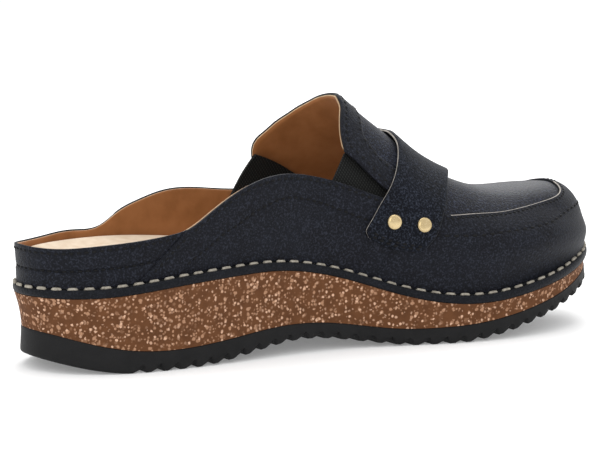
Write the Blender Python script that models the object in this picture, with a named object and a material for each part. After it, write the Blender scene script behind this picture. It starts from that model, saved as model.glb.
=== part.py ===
"""Left clog with a closed front and an open heel: rubber outsole, cork midsole, sewn rand, footbed,
hollow leather upper with a raised apron seam, two elastic gores, and a saddle strap held by two
rivets on each side.

X runs from heel to toe, Y to the wearer's left (the outer side of this left shoe), Z up from the floor.
A place along the shoe is a share of SOLE_LENGTH, 0 at the heel. A place on the last is that share with a
climb, 0 at the edge of the sole and 1 at the midline on top.
"""

import math

import bmesh
import bpy
import numpy as np

# Sizes in metres.
SOLE_LENGTH = 0.262
BALL_WIDTH = 0.098
SEAT_HEIGHT = 0.030      # floor to the top of the cork at the heel
THROAT_HEIGHT = 0.1026   # floor to the top edge of the tongue
RAND_THICKNESS = 0.0035
RAND_WIDTH = 0.0095
UPPER_WALL = 0.0026
APRON_STEP = 0.0012      # how far the apron lies below the ring round it
BAND_STEP = 0.0010       # how far the heel band lies below the quarter
BAND_FOOT_STEP = 0.0004  # the same for the band's lower strip
HEEL_OVERHANG = 0.0020   # the rand and band stand this far behind the outsole
STRAP_THICKNESS = 0.0018
GORE_THICKNESS = 0.0012
FIT = 0.0003             # clear gap between neighbouring pieces
STRAP_FIT = 0.0005
GORE_FIT = 0.0008
TREAD_PITCH = 0.0066
TREAD_GROOVE = 0.0024
TREAD_DEPTH = 0.0015
TREAD_FROM = 0.165       # share where the ribs start
EDGE_ROUND = 0.0013
DISH_DEPTH = 0.0035      # hollow of the footbed
RIVET_RADIUS = 0.0034
RIVET_HEIGHT = 0.0012
TOE_SHIFT = -0.075       # toe tip to the inner side, share of BALL_WIDTH

# Half widths of the sole as shares of BALL_WIDTH, inner (medial) and outer (lateral) side.
OUTLINE = (
    # share, inner, outer
    (0.05, 0.235, 0.235),
    (0.12, 0.325, 0.330),
    (0.25, 0.345, 0.360),
    (0.38, 0.325, 0.375),
    (0.48, 0.325, 0.400),
    (0.58, 0.390, 0.455),
    (0.67, 0.462, 0.490),
    (0.76, 0.490, 0.472),
    (0.84, 0.470, 0.400),
    (0.92, 0.385, 0.275),
    (0.97, 0.270, 0.140),
)

# Heights at the edge of the sole as shares of SEAT_HEIGHT.
SOLE_HEIGHTS = (
    # share, tread in/out, outsole top in/out, cork top in/out
    (0.03, 0.120, 0.120, 0.487, 0.487, 0.997, 0.987),
    (0.10, 0.010, 0.010, 0.330, 0.330, 1.023, 1.007),
    (0.20, -0.010, -0.010, 0.267, 0.267, 1.107, 1.047),
    (0.30, 0.062, 0.042, 0.340, 0.320, 1.163, 1.073),
    (0.36, 0.150, 0.103, 0.400, 0.360, 1.173, 1.067),
    (0.42, 0.195, 0.143, 0.413, 0.380, 1.120, 1.013),
    (0.50, 0.120, 0.093, 0.340, 0.327, 0.947, 0.873),
    (0.57, 0.027, 0.020, 0.247, 0.243, 0.740, 0.713),
    (0.64, -0.012, -0.012, 0.227, 0.227, 0.587, 0.580),
    (0.72, 0.038, 0.038, 0.270, 0.270, 0.540, 0.540),
    (0.80, 0.175, 0.175, 0.387, 0.387, 0.620, 0.620),
    (0.88, 0.338, 0.338, 0.533, 0.533, 0.733, 0.733),
    (0.95, 0.453, 0.453, 0.663, 0.663, 0.820, 0.820),
)
SOLE_HEEL = (0.187, 0.547, 1.000)   # tread, outsole top, cork top at the heel tip
SOLE_TOE = (0.507, 0.720, 0.860)    # the same at the toe tip

# Midline of the last: height over the floor as a share of THROAT_HEIGHT.
RIDGE = (
    # share, height
    (0.00, 1.092),
    (0.10, 1.160),
    (0.20, 1.199),
    (0.30, 1.204),
    (0.38, 1.179),
    (0.45, 1.126),
    (0.50, 1.065),
    (0.54, 1.000),
    (0.58, 0.912),
    (0.62, 0.828),
    (0.66, 0.751),
    (0.70, 0.682),
    (0.74, 0.635),
    (0.78, 0.602),
    (0.83, 0.587),
    (0.89, 0.589),
    (1.00, 0.589),
)
# Cross sections of the last: exponent of the rounded arch, 2 a half ellipse, more is boxier.
FULLNESS = (
    # share, inner, outer
    (0.15, 2.7, 2.7),
    (0.30, 2.5, 2.5),
    (0.42, 2.25, 2.25),
    (0.52, 2.1, 2.1),
    (0.64, 2.1, 2.0),
    (0.75, 2.4, 2.1),
    (0.84, 2.9, 2.3),
    (0.92, 3.5, 2.8),
    (0.97, 3.9, 3.4),
)
FULLNESS_HEEL = 2.7
FULLNESS_TOE = 3.8
# Midline's sideways place (share of BALL_WIDTH), swell of the wall and inset of its foot (metres).
SIDE = (
    # share, midline, swell, inset
    (0.00, 0.000, 0.0010, 0.0012),
    (0.08, 0.005, 0.0016, 0.0024),
    (0.25, 0.010, 0.0028, 0.0036),
    (0.50, 0.005, 0.0030, 0.0037),
    (0.62, -0.020, 0.0037, 0.0038),
    (0.74, -0.065, 0.0043, 0.0040),
    (0.87, -0.097, 0.0046, 0.0042),
    (1.00, -0.100, 0.0046, 0.0042),
)

# Climb of the upper's top line: collar back to the gore, gore to its point, then the apron seam to the toe.
TOP_LINE = (
    # share, inner, outer
    (0.03, 0.122, 0.115),
    (0.08, 0.123, 0.108),
    (0.14, 0.120, 0.104),
    (0.19, 0.121, 0.107),
    (0.22, 0.130, 0.138),
    (0.26, 0.172, 0.165),
    (0.30, 0.216, 0.184),
    (0.35, 0.255, 0.191),
    (0.40, 0.278, 0.192),
    (0.45, 0.288, 0.205),
    (0.50, 0.298, 0.232),
    (0.54, 0.308, 0.262),
    (0.585, 0.335, 0.300),
    (0.63, 0.360, 0.340),
    (0.665, 0.395, 0.380),
    (0.70, 0.438, 0.422),
    (0.76, 0.489, 0.475),
    (0.82, 0.523, 0.510),
    (0.88, 0.537, 0.528),
    (0.92, 0.552, 0.548),
    (0.95, 0.600, 0.603),
    (0.975, 0.695, 0.700),
)
TOP_LINE_HEEL = 0.128
TOP_LINE_TOE = 0.800
GORE_POINT = 0.585       # share of the gore's front point, under the strap
SEAM_MEETS = 0.665       # share where the apron seam meets the top line
BAND_END = 0.215         # share of the band seam at the collar
BAND_RAKE = 0.085        # how far further back the band seam meets the sole
TONGUE_LEAN = 0.030      # how far the tongue's front column leans forward at the midline

# Tongue's edge: share of its rear edge at a climb.
TONGUE_EDGE = (
    # climb, inner, outer
    (0.300, 0.505, 0.468),
    (0.350, 0.505, 0.462),
    (0.400, 0.505, 0.467),
    (0.440, 0.505, 0.478),
    (0.500, 0.506, 0.492),
    (0.565, 0.511, 0.507),
    (0.633, 0.518, 0.519),
    (0.720, 0.527, 0.531),
    (0.812, 0.532, 0.538),
    (0.900, 0.538, 0.542),
    (1.000, 0.543, 0.543),
)
# Tongue from its rear edge (0) to the gore's point (1): climb of its lower edge and of the seam above it.
TONGUE_FOOT = (
    # part, lower edge in/out, seam in/out
    (0.00, 0.432, 0.305, 0.620, 0.530),
    (0.25, 0.409, 0.309, 0.600, 0.530),
    (0.45, 0.385, 0.312, 0.572, 0.515),
    (0.62, 0.371, 0.312, 0.525, 0.495),
    (0.80, 0.360, 0.309, 0.505, 0.475),
    (1.00, 0.335, 0.300, 0.495, 0.460),
)
# Strap's rear and front edge at a climb.
STRAP_EDGES = (
    # climb, rear, front
    (0.10, 0.522, 0.606),
    (0.16, 0.5245, 0.613),
    (0.20, 0.532, 0.622),
    (0.26, 0.5435, 0.635),
    (0.35, 0.563, 0.648),
    (0.46, 0.584, 0.667),
    (0.60, 0.604, 0.687),
    (0.76, 0.622, 0.713),
    (0.89, 0.636, 0.735),
    (1.00, 0.641, 0.743),
)
# Strap's end: climb from its rear edge (0) to its front edge (1), with rounded corners.
STRAP_END = (
    # part, climb
    (0.00, 0.160),
    (0.05, 0.143),
    (0.15, 0.133),
    (0.40, 0.131),
    (0.65, 0.142),
    (0.85, 0.157),
    (0.95, 0.172),
    (1.00, 0.196),
)
# Gore panels: lower and upper line, inner then outer side, each a share with a climb, from rear to front.
GORE_LINES = (
    # part, inner low share/climb, inner high share/climb, outer low share/climb, outer high share/climb
    (0.00, 0.464, 0.262, 0.506, 0.466, 0.418, 0.166, 0.463, 0.345),
    (0.33, 0.505, 0.268, 0.528, 0.444, 0.470, 0.190, 0.500, 0.348),
    (0.66, 0.550, 0.278, 0.563, 0.410, 0.530, 0.222, 0.550, 0.345),
    (1.00, 0.604, 0.312, 0.606, 0.392, 0.604, 0.272, 0.606, 0.342),
)
RIVETS = (
    # part across the strap, climb
    (0.30, 0.236),
    (0.73, 0.275),
)
# Footbed's edge as shares of SEAT_HEIGHT above the floor.
FOOTBED = (
    # share, inner, outer
    (0.05, 1.527, 1.527),
    (0.12, 1.527, 1.523),
    (0.22, 1.540, 1.507),
    (0.30, 1.540, 1.443),
    (0.40, 1.470, 1.327),
    (0.50, 1.240, 1.143),
    (0.60, 0.973, 0.947),
    (0.70, 0.827, 0.817),
    (0.80, 0.840, 0.840),
    (0.90, 0.943, 0.943),
)
FOOTBED_HEEL = 1.533
FOOTBED_TOE = 1.027

SPINE_TOE_PULL, SPINE_TOE_FROM = 0.024, 0.70
SPINE_HEEL_PULL, SPINE_HEEL_TO = 0.040, 0.32
SWELL_SPAN = 0.90
OVERHANG_TO = 0.22


# Curves.
def column(rows, index):
    return [row[index] for row in rows]


def through(xs, ys):
    """Natural cubic spline through the rows of a table; it holds its end values outside them."""
    xs = np.asarray(xs, float)
    ys = np.asarray(ys, float)
    n = len(xs)
    h = np.diff(xs)
    a = np.eye(n)
    b = np.zeros(n)
    for i in range(1, n - 1):
        a[i, i - 1], a[i, i], a[i, i + 1] = h[i - 1], 2 * (h[i - 1] + h[i]), h[i]
        b[i] = 6 * ((ys[i + 1] - ys[i]) / h[i] - (ys[i] - ys[i - 1]) / h[i - 1])
    m = np.linalg.solve(a, b)

    def curve(x):
        x = np.clip(np.asarray(x, float), xs[0], xs[-1])
        i = np.clip(np.searchsorted(xs, x, side="right") - 1, 0, n - 2)
        p, q = xs[i + 1] - x, x - xs[i]
        bend = (m[i] * p**3 + m[i + 1] * q**3) / (6 * h[i])
        start, end = ys[i] / h[i] - m[i] * h[i] / 6, ys[i + 1] / h[i] - m[i + 1] * h[i] / 6
        return bend + start * p + end * q

    return curve


def across_top(rows, index):
    """Curve of the climb, level at the midline where the two sides meet: the rows, then their mirror."""
    xs, ys = column(rows, 0), column(rows, index)
    return through(xs + [2 - x for x in xs[-2::-1]], ys + ys[-2::-1])


def turn_of(share):
    """Angle round the sole for a share of its length: 0 at the heel tip, pi at the toe tip."""
    return np.arccos(1 - 2 * np.clip(share, 0, 1))


def share_of(turn):
    return (1 - np.cos(turn)) / 2


def around(shares, inner, outer, heel, toe):
    """Smooth closed curve of the turn, inner side at negative turns, through both sides' rows."""
    turns = turn_of(np.asarray(shares, float))
    knots = np.concatenate([-turns[::-1], [0.0], turns, [math.pi]])
    values = np.concatenate([np.asarray(inner, float)[::-1], [heel], np.asarray(outer, float), [toe]])
    n = len(knots)
    gaps = np.append(np.diff(knots), knots[0] + 2 * math.pi - knots[-1])
    a = np.zeros((n, n))
    b = np.zeros(n)
    for i in range(n):
        before, after = gaps[i - 1], gaps[i]
        a[i, i - 1] += before
        a[i, i] += 2 * (before + after)
        a[i, (i + 1) % n] += after
        rise = (values[(i + 1) % n] - values[i]) / after
        b[i] = 6 * (rise - (values[i] - values[i - 1]) / before)
    m = np.linalg.solve(a, b)

    def curve(turn):
        x = (np.asarray(turn, float) - knots[0]) % (2 * math.pi) + knots[0]
        i = np.clip(np.searchsorted(knots, x, side="right") - 1, 0, n - 1)
        j = (i + 1) % n
        h = gaps[i]
        q = x - knots[i]
        p = h - q
        bend = (m[i] * p**3 + m[j] * q**3) / (6 * h)
        return bend + (values[i] / h - m[i] * h / 6) * p + (values[j] / h - m[j] * h / 6) * q

    return curve


def sole_height(pair, end):
    """Height of one line round the sole, over the floor."""
    inner, outer = column(SOLE_HEIGHTS, pair), column(SOLE_HEIGHTS, pair + 1)
    curve = around(column(SOLE_HEIGHTS, 0), inner, outer, SOLE_HEEL[end], SOLE_TOE[end])
    return lambda turn: SEAT_HEIGHT * curve(turn)


half_width = around(
    column(OUTLINE, 0), [-w for w in column(OUTLINE, 1)], column(OUTLINE, 2), 0.0, TOE_SHIFT
)
tread_line = sole_height(1, 0)
outsole_line = sole_height(3, 1)
cork_line = sole_height(5, 2)
ridge_height = through(column(RIDGE, 0), column(RIDGE, 1))
fullness = around(
    column(FULLNESS, 0), column(FULLNESS, 1), column(FULLNESS, 2), FULLNESS_HEEL, FULLNESS_TOE
)
midline = through(column(SIDE, 0), column(SIDE, 1))
swell = through(column(SIDE, 0), column(SIDE, 2))
inset = through(column(SIDE, 0), column(SIDE, 3))
top_line = around(
    column(TOP_LINE, 0), column(TOP_LINE, 1), column(TOP_LINE, 2), TOP_LINE_HEEL, TOP_LINE_TOE
)
footbed_edge = around(
    column(FOOTBED, 0), column(FOOTBED, 1), column(FOOTBED, 2), FOOTBED_HEEL, FOOTBED_TOE
)


def tread(turn):
    """Underside: the tread line, level where it would pass below the floor, so heel and ball stand flat."""
    return np.maximum(tread_line(turn), 0.0)


def outline(turn, offset):
    """Plan of the sole's edge, moved outwards by offset along its own normal."""
    turn = np.asarray(turn, float)

    def bare(t):
        return SOLE_LENGTH * share_of(t), BALL_WIDTH * half_width(t)

    x, y = bare(turn)
    x1, y1 = bare(turn + 1e-4)
    x0, y0 = bare(turn - 1e-4)
    dx, dy = x1 - x0, y1 - y0
    size = np.hypot(dx, dy)
    return x - offset * dy / size, y + offset * dx / size


def overhang(turn):
    return HEEL_OVERHANG * np.clip(1 - share_of(turn) / OVERHANG_TO, 0, 1) ** 2


def height_at(line, x, y):
    """Height of a sole layer over any plan point, straight across the shoe between its two edges."""
    turn = turn_of(x / SOLE_LENGTH)
    inner, outer = BALL_WIDTH * half_width(-turn), BALL_WIDTH * half_width(turn)
    part = np.clip((y - inner) / np.maximum(outer - inner, 1e-6), 0, 1)
    return line(-turn) * (1 - part) + line(turn) * part


def spine(share):
    toe = np.clip((share - SPINE_TOE_FROM) / (1 - SPINE_TOE_FROM), 0, 1)
    heel = np.clip((SPINE_HEEL_TO - share) / SPINE_HEEL_TO, 0, 1)
    return SOLE_LENGTH * share - SPINE_TOE_PULL * toe**2 + SPINE_HEEL_PULL * heel**2


def last(turn, climb):
    """Outer face of the upper: arches from the sole's edge to the midline, fuller or rounder by tables."""
    turn, climb = np.broadcast_arrays(np.asarray(turn, float), np.asarray(climb, float))
    share = share_of(turn)
    px, py = outline(turn, overhang(turn) - inset(share))
    foot = height_at(cork_line, px, py) + RAND_THICKNESS + FIT
    cx = spine(share)
    cy = BALL_WIDTH * midline(cx / SOLE_LENGTH)
    n = fullness(turn)
    c, s = np.cos(climb * math.pi / 2), np.sin(climb * math.pi / 2)
    rho = (np.abs(c) ** n + np.abs(s) ** n) ** (-1 / n)
    out, up = rho * c, rho * s
    dx, dy = px - cx, py - cy
    bulge = swell(share) * np.sin(math.pi * np.clip(up / SWELL_SPAN, 0, 1)) ** 2 / np.hypot(dx, dy)
    crown = THROAT_HEIGHT * ridge_height(np.clip((cx + dx * out) / SOLE_LENGTH, 0, 1))
    return np.stack([cx + dx * (out + bulge), cy + dy * (out + bulge), foot + (crown - foot) * up], -1)


def last_normal(turn, climb):
    """Outward normal of the last, or straight up where the columns meet at the end of the midline."""
    step = 1e-3
    du = last(turn + step, climb) - last(turn - step, climb)
    dv = last(turn, climb + step) - last(turn, climb - step)
    normal = np.cross(du, dv)
    size = np.linalg.norm(normal, axis=-1, keepdims=True)
    normal = np.where(size < 1e-12, np.array([0.0, 0.0, 1.0]), normal / np.maximum(size, 1e-12))
    away = last(turn, climb) - np.array([0.5 * SOLE_LENGTH, 0.0, SEAT_HEIGHT])
    flip = np.sum(normal * away, axis=-1, keepdims=True) < 0
    return np.where(flip, -normal, normal)


# Mesh helpers.
def material(name, colour, roughness, metallic=0.0):
    made = bpy.data.materials.new(name)
    made.use_nodes = True
    shader = made.node_tree.nodes["Principled BSDF"]
    shader.inputs["Base Color"].default_value = (*colour, 1.0)
    shader.inputs["Roughness"].default_value = roughness
    shader.inputs["Metallic"].default_value = metallic
    return made


def add_object(name, points, faces, look):
    """Closed mesh as a named object under the shoe's empty."""
    mesh = bpy.data.meshes.new(name)
    mesh.from_pydata([tuple(p) for p in points], [], faces)
    shape = bmesh.new()
    shape.from_mesh(mesh)
    bmesh.ops.remove_doubles(shape, verts=shape.verts, dist=1e-6)
    bmesh.ops.dissolve_degenerate(shape, dist=1e-6, edges=shape.edges)
    bmesh.ops.recalc_face_normals(shape, faces=shape.faces)
    if shape.calc_volume(signed=True) < 0:
        bmesh.ops.reverse_faces(shape, faces=shape.faces)
    shape.to_mesh(mesh)
    shape.free()
    mesh.shade_smooth()
    mesh.set_sharp_from_angle(angle=math.radians(35))
    made = bpy.data.objects.new(name, mesh)
    made.data.materials.append(look)
    shoe.objects.link(made)
    made.parent = root
    return made


def sheet(name, turns, climbs, faces, outer, inner, look):
    """Shell between two offsets of the last. Equal places are welded first, then open edges get a rim."""
    turns = np.asarray(turns, float)
    climbs = np.asarray(climbs, float)
    base = last(turns, climbs)
    _, first, place = np.unique(np.round(base, 7), axis=0, return_index=True, return_inverse=True)
    place = place.reshape(-1)
    base = base[first]
    normal = last_normal(turns[first], climbs[first])
    top = base + normal * np.asarray(outer, float)[first, None]
    bottom = base + normal * np.asarray(inner, float)[first, None]
    count = len(base)
    skins = []
    edges = {}
    for face in faces:
        welded = []
        for corner in face:
            if place[corner] not in welded:
                welded.append(int(place[corner]))
        if len(welded) < 3:
            continue
        skins.append(welded)
        for a, b in zip(welded, welded[1:] + welded[:1]):
            edges[(a, b)] = True
    rims = [(b, a, a + count, b + count) for a, b in edges if (b, a) not in edges]
    solid = skins + [[i + count for i in reversed(face)] for face in skins] + rims
    return add_object(name, np.vstack([top, bottom]), solid, look)


def grid_faces(rows, columns, start=0, flip=False):
    found = []
    for i in range(rows - 1):
        for j in range(columns - 1):
            a = start + i * columns + j
            face = (a, a + 1, a + columns + 1, a + columns)
            found.append(tuple(reversed(face)) if flip else face)
    return found


def slab(name, turns, rings, across, look, top_dip=None):
    """Solid from rings stacked up the sole's edge, closed below and above by rungs from side to side."""
    half = len(turns) // 2
    n = len(turns)
    points = [np.stack([x, y, z], -1) for x, y, z in rings]
    faces = []
    for r in range(len(rings) - 1):
        for j in range(n):
            k = (j + 1) % n
            faces.append((r * n + j, r * n + k, (r + 1) * n + k, (r + 1) * n + j))
    verts = np.vstack(points)
    for ring, dip, up in ((0, None, False), (len(rings) - 1, top_dip, True)):
        rim = points[ring]
        start = len(verts)
        rungs = []
        parts = np.linspace(0, 1, across + 1)[1:-1]
        extra = []
        for j in range(1, half):
            a, b = rim[j], rim[n - j]
            rung = []
            for t in parts:
                p = a * (1 - t) + b * t
                if dip is not None:
                    p = p - np.array([0, 0, dip(share_of(turns[j]), t)])
                rung.append(start + len(extra))
                extra.append(p)
            rungs.append([ring * n + j] + rung + [ring * n + n - j])
        verts = np.vstack([verts, np.array(extra)])
        caps = []
        for left, right in zip(rungs, rungs[1:]):
            for k in range(across):
                caps.append((left[k], left[k + 1], right[k + 1], right[k]))
        for tip, rung in ((ring * n, rungs[0]), (ring * n + half, rungs[-1])):
            for k in range(across):
                caps.append((tip, rung[k], rung[k + 1]))
        faces += caps
    return add_object(name, verts, faces, look)


def both_ways(turns):
    """Turns once round the shoe: heel tip, outer side to the toe tip, then back along the inner side."""
    turns = np.asarray(turns, float)
    return np.concatenate([[0.0], turns, [math.pi], -turns[::-1]])


# Pieces.
def make_outsole(look):
    plain = np.linspace(0.0, float(turn_of(TREAD_FROM)), 11)[1:]
    shares = list(share_of(plain))
    groove = [0.0] * len(shares)
    count = int((0.985 - TREAD_FROM) * SOLE_LENGTH / TREAD_PITCH)
    for k in range(count):
        at = TREAD_FROM + k * TREAD_PITCH / SOLE_LENGTH
        for part, depth in ((0.30, 0.0), (0.5, TREAD_DEPTH), (0.70, 0.0)):
            width = TREAD_GROOVE / SOLE_LENGTH
            shares.append(at + TREAD_PITCH / SOLE_LENGTH * 0.55 + (part - 0.5) / 0.4 * width)
            groove.append(depth)
    for share in (0.991, 0.997):
        if share > shares[-1] + 0.004:
            shares.append(share)
            groove.append(0.0)
    turns = both_ways(turn_of(np.array(shares)))
    cut = np.concatenate([[0.0], groove, [0.0], groove[::-1]])
    rings = []
    floor = tread(turns)
    for inward, lift, share_of_cut in ((0.0018, 0.0, 1.0), (0.0005, EDGE_ROUND, 0.9)):
        x, y = outline(turns, -inward - 0.6 * cut * (share_of_cut < 1))
        rings.append((x, y, floor + lift + cut * share_of_cut))
    x, y = outline(turns, -0.0010 + 0 * turns)
    rings.append((x, y, height_at(outsole_line, x, y)))
    return slab("outsole", turns, rings, 3, look)


def make_midsole(turns, look):
    rings = []
    for part, offset in ((0.0, -0.0012), (0.5, -0.0004), (1.0, -0.0002)):
        x, y = outline(turns, offset + part * overhang(turns))
        low = height_at(outsole_line, x, y) + FIT
        rings.append((x, y, low + (height_at(cork_line, x, y) - low) * part))
    return slab("midsole", turns, rings, 3, look)


def make_rand(turns, look):
    """Ring of leather between cork and upper, sewn down all round."""
    section = (
        # outwards from the sole's edge, share of the thickness
        (-RAND_WIDTH, 0.0),
        (-0.0005, 0.0),
        (0.0002, 0.35),
        (0.0, 0.80),
        (-0.0008, 1.0),
        (-RAND_WIDTH, 1.0),
    )
    n = len(turns)
    points = []
    for offset, part in section:
        x, y = outline(turns, offset + overhang(turns))
        z = height_at(cork_line, x, y) + FIT + (RAND_THICKNESS - FIT) * part
        points.append(np.stack([x, y, z], -1))
    faces = []
    for r in range(len(section)):
        q = (r + 1) % len(section)
        for j in range(n):
            k = (j + 1) % n
            faces.append((r * n + j, r * n + k, q * n + k, q * n + j))
    return add_object("rand", np.vstack(points), faces, look)


def make_footbed(turns, look):
    """Dished bed: a plug inside the rand, then a wider slab that overlaps the rand inside the upper."""
    share = share_of(turns)
    plug = overhang(turns) - RAND_WIDTH - 0.0006
    wide = overhang(turns) - inset(share) - UPPER_WALL - 0.0005
    edge = SEAT_HEIGHT * footbed_edge(turns)
    rings = []
    for offset, lift, drop in (
        (plug, FIT, None),
        (plug, RAND_THICKNESS + FIT, None),
        (wide, RAND_THICKNESS + FIT, None),
        (wide, None, 0.0015),
        (wide - 0.0018, None, 0.0),
    ):
        x, y = outline(turns, offset)
        rings.append((x, y, edge - drop if lift is None else height_at(cork_line, x, y) + lift))

    def dish(place, t):
        hollow = 1 - (2 * t - 1) ** 2
        return hollow * DISH_DEPTH * float(np.clip(1.15 - 0.9 * place, 0.3, 1.0))

    return slab("footbed", turns, rings, 5, look, dish)


def side_pick(side, inner, outer):
    return inner if side < 0 else outer


def body_columns():
    """Shares of the upper's columns at its top line, heel to toe, with the band's two seam columns."""
    seam = 0.0009 / SOLE_LENGTH
    back = share_of(np.linspace(0, float(turn_of(BAND_END - seam / 2)), 10))
    middle = share_of(np.linspace(float(turn_of(BAND_END + seam / 2)), float(turn_of(GORE_POINT)), 13))
    front = share_of(np.linspace(float(turn_of(GORE_POINT)), math.pi, 22))
    return back, middle, front


def body_share(share, part):
    """Columns lean near the band seam, which runs down and back from the collar to the sole."""
    lean = BAND_RAKE * np.sin(math.pi * np.clip(share / (2 * BAND_END), 0, 1)) ** 2
    return share - lean * (1 - part)


def make_upper(look):
    turns, climbs, outer, faces = [], [], [], []
    back, middle, front = body_columns()
    shares = np.concatenate([back, middle[:-1], front])
    parts = np.array([0.0, 0.2, 0.40, 0.45, 0.59, 0.72, 0.86, 1.0])
    order = [(1, s) for s in shares] + [(-1, s) for s in shares[::-1][1:]]
    for part in parts:
        for side, share in order:
            turn = side * float(turn_of(body_share(share, part)))
            climb = float(top_line(side * float(turn_of(share)))) * part
            drop = 0.0
            if share < BAND_END:
                drop = -BAND_FOOT_STEP if part < 0.42 else -BAND_STEP
            turns.append(turn)
            climbs.append(climb)
            outer.append(drop)
    faces += grid_faces(len(parts), len(order))
    foot = [through(column(TONGUE_FOOT, 0), column(TONGUE_FOOT, i)) for i in (1, 2, 3, 4)]
    edge = [across_top(TONGUE_EDGE, i) for i in (1, 2)]
    rest = (0.0, 0.2, 0.42, 0.66, 0.86, 1.0)
    cuts = (0.0, 0.21, 0.41, 0.445, 0.63, 0.82)
    for side in (-1, 1):
        low_edge, seam = side_pick(side, foot[0], foot[1]), side_pick(side, foot[2], foot[3])
        rear = side_pick(side, edge[0], edge[1])
        point = float(top_line(side * float(turn_of(GORE_POINT))))
        columns = [("tongue", c) for c in cuts] + [("vamp", s) for s in front]
        start = len(turns)
        rows = []
        for kind, at in columns:
            if kind == "tongue":
                low, mid = float(low_edge(at)), float(seam(at))
            else:
                low = float(top_line(side * float(turn_of(at))))
                fade = np.clip((at - GORE_POINT) / (SEAM_MEETS - GORE_POINT), 0, 1)
                mid = low + (float(seam(1.0)) - point) * (1 - fade) ** 1.2
                if fade >= 1:
                    mid = low
            inside = mid + 0.012
            climb = [low, mid] + [inside + (1 - inside) * f for f in rest]
            line = []
            for v in climb:
                base = point if kind == "tongue" else low
                lean = TONGUE_LEAN * np.clip((v - base) / (1 - base), 0, 1)
                if kind == "tongue":
                    s = float(rear(v)) * (1 - at) + (GORE_POINT + lean) * at
                else:
                    s = at + lean * np.clip(1 - (at - GORE_POINT) / 0.25, 0, 1)
                line.append((s, v))
            rows.append(line)
        for j in range(len(rest) + 2):
            for i, line in enumerate(rows):
                s, v = line[j]
                turns.append(side * float(turn_of(s)))
                climbs.append(v)
                outer.append(-APRON_STEP if (i >= 3 and j >= 2) else 0.0)
        faces += grid_faces(len(rest) + 2, len(columns), start, flip=side < 0)
    return sheet("upper", turns, climbs, faces, outer, [-UPPER_WALL] * len(turns), look)


def make_strap(look):
    """Saddle strap over the instep, from the inner to the outer side, with a slot at the middle."""
    rear, fore = across_top(STRAP_EDGES, 1), across_top(STRAP_EDGES, 2)
    end = through(column(STRAP_END, 0), column(STRAP_END, 1))
    parts = (0.0, 0.05, 0.15, 0.36, 0.62, 0.85, 0.95, 1.0)
    up = (0.0, 0.05, 0.14, 0.24, 0.35, 0.47, 0.59, 0.70, 0.81, 0.92, 0.955, 1.0)
    steps = [(-1, f) for f in up] + [(1, f) for f in up[::-1][1:]]
    turns, climbs = [], []
    for side, f in steps:
        for part in parts:
            low = float(end(part))
            v = low + (1 - low) * f
            s = float(rear(v)) * (1 - part) + float(fore(v)) * part
            turns.append(side * float(turn_of(s)))
            climbs.append(v)
    faces = grid_faces(len(steps), len(parts))
    middle = len(up) - 1
    slot = {(middle - 1) * (len(parts) - 1) + 3, middle * (len(parts) - 1) + 3}
    faces = [face for k, face in enumerate(faces) if k not in slot]
    count = len(turns)
    outer, inner = [STRAP_FIT + STRAP_THICKNESS] * count, [STRAP_FIT] * count
    return sheet("strap", turns, climbs, faces, outer, inner, look)


def make_gore(name, side, look):
    """Elastic panel behind the notch, overlapped by the quarter and the tongue."""
    first = 1 if side < 0 else 5
    lines = [through(column(GORE_LINES, 0), column(GORE_LINES, first + i)) for i in range(4)]
    turns, climbs = [], []
    for a in np.linspace(0, 1, 9):
        for b in np.linspace(0, 1, 5):
            s = float(lines[0](a)) * (1 - b) + float(lines[2](a)) * b
            v = float(lines[1](a)) * (1 - b) + float(lines[3](a)) * b
            turns.append(side * float(turn_of(s)))
            climbs.append(v)
    top = -UPPER_WALL - GORE_FIT
    count = len(turns)
    outer, inner = [top] * count, [top - GORE_THICKNESS] * count
    return sheet(name, turns, climbs, grid_faces(9, 5), outer, inner, look)


def make_rivet(name, side, part, climb, look):
    """Turned flat head with a rounded rim, standing on the strap."""
    rear, fore = across_top(STRAP_EDGES, 1), across_top(STRAP_EDGES, 2)
    share = float(rear(climb)) * (1 - part) + float(fore(climb)) * part
    turn = side * float(turn_of(share))
    place = last(turn, climb).reshape(3)
    axis = last_normal(np.array([turn]), np.array([climb])).reshape(3)
    place = place + axis * (STRAP_FIT + STRAP_THICKNESS + FIT)
    across = np.cross(axis, (0.0, 0.0, 1.0))
    across /= np.linalg.norm(across)
    upward = np.cross(across, axis)
    profile = (
        (RIVET_RADIUS * 0.94, 0.0),
        (RIVET_RADIUS, RIVET_HEIGHT * 0.35),
        (RIVET_RADIUS * 0.96, RIVET_HEIGHT * 0.75),
        (RIVET_RADIUS * 0.78, RIVET_HEIGHT),
    )
    sides = 20
    angles = np.arange(sides) * 2 * math.pi / sides
    points = []
    for radius, height in profile:
        for angle in angles:
            spoke = math.cos(angle) * across + math.sin(angle) * upward
            points.append(place + axis * height + radius * spoke)
    faces = []
    for r in range(len(profile) - 1):
        for j in range(sides):
            k = (j + 1) % sides
            faces.append((r * sides + j, r * sides + k, (r + 1) * sides + k, (r + 1) * sides + j))
    faces.append(tuple(range(sides)))
    faces.append(tuple((len(profile) - 1) * sides + j for j in range(sides)))
    return add_object(name, points, faces, look)


# The shoe.
for old in list(bpy.data.objects):
    bpy.data.objects.remove(old)

shoe = bpy.data.collections.new("clog")
bpy.context.scene.collection.children.link(shoe)
root = bpy.data.objects.new("clog_origin", None)
shoe.objects.link(root)

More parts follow.
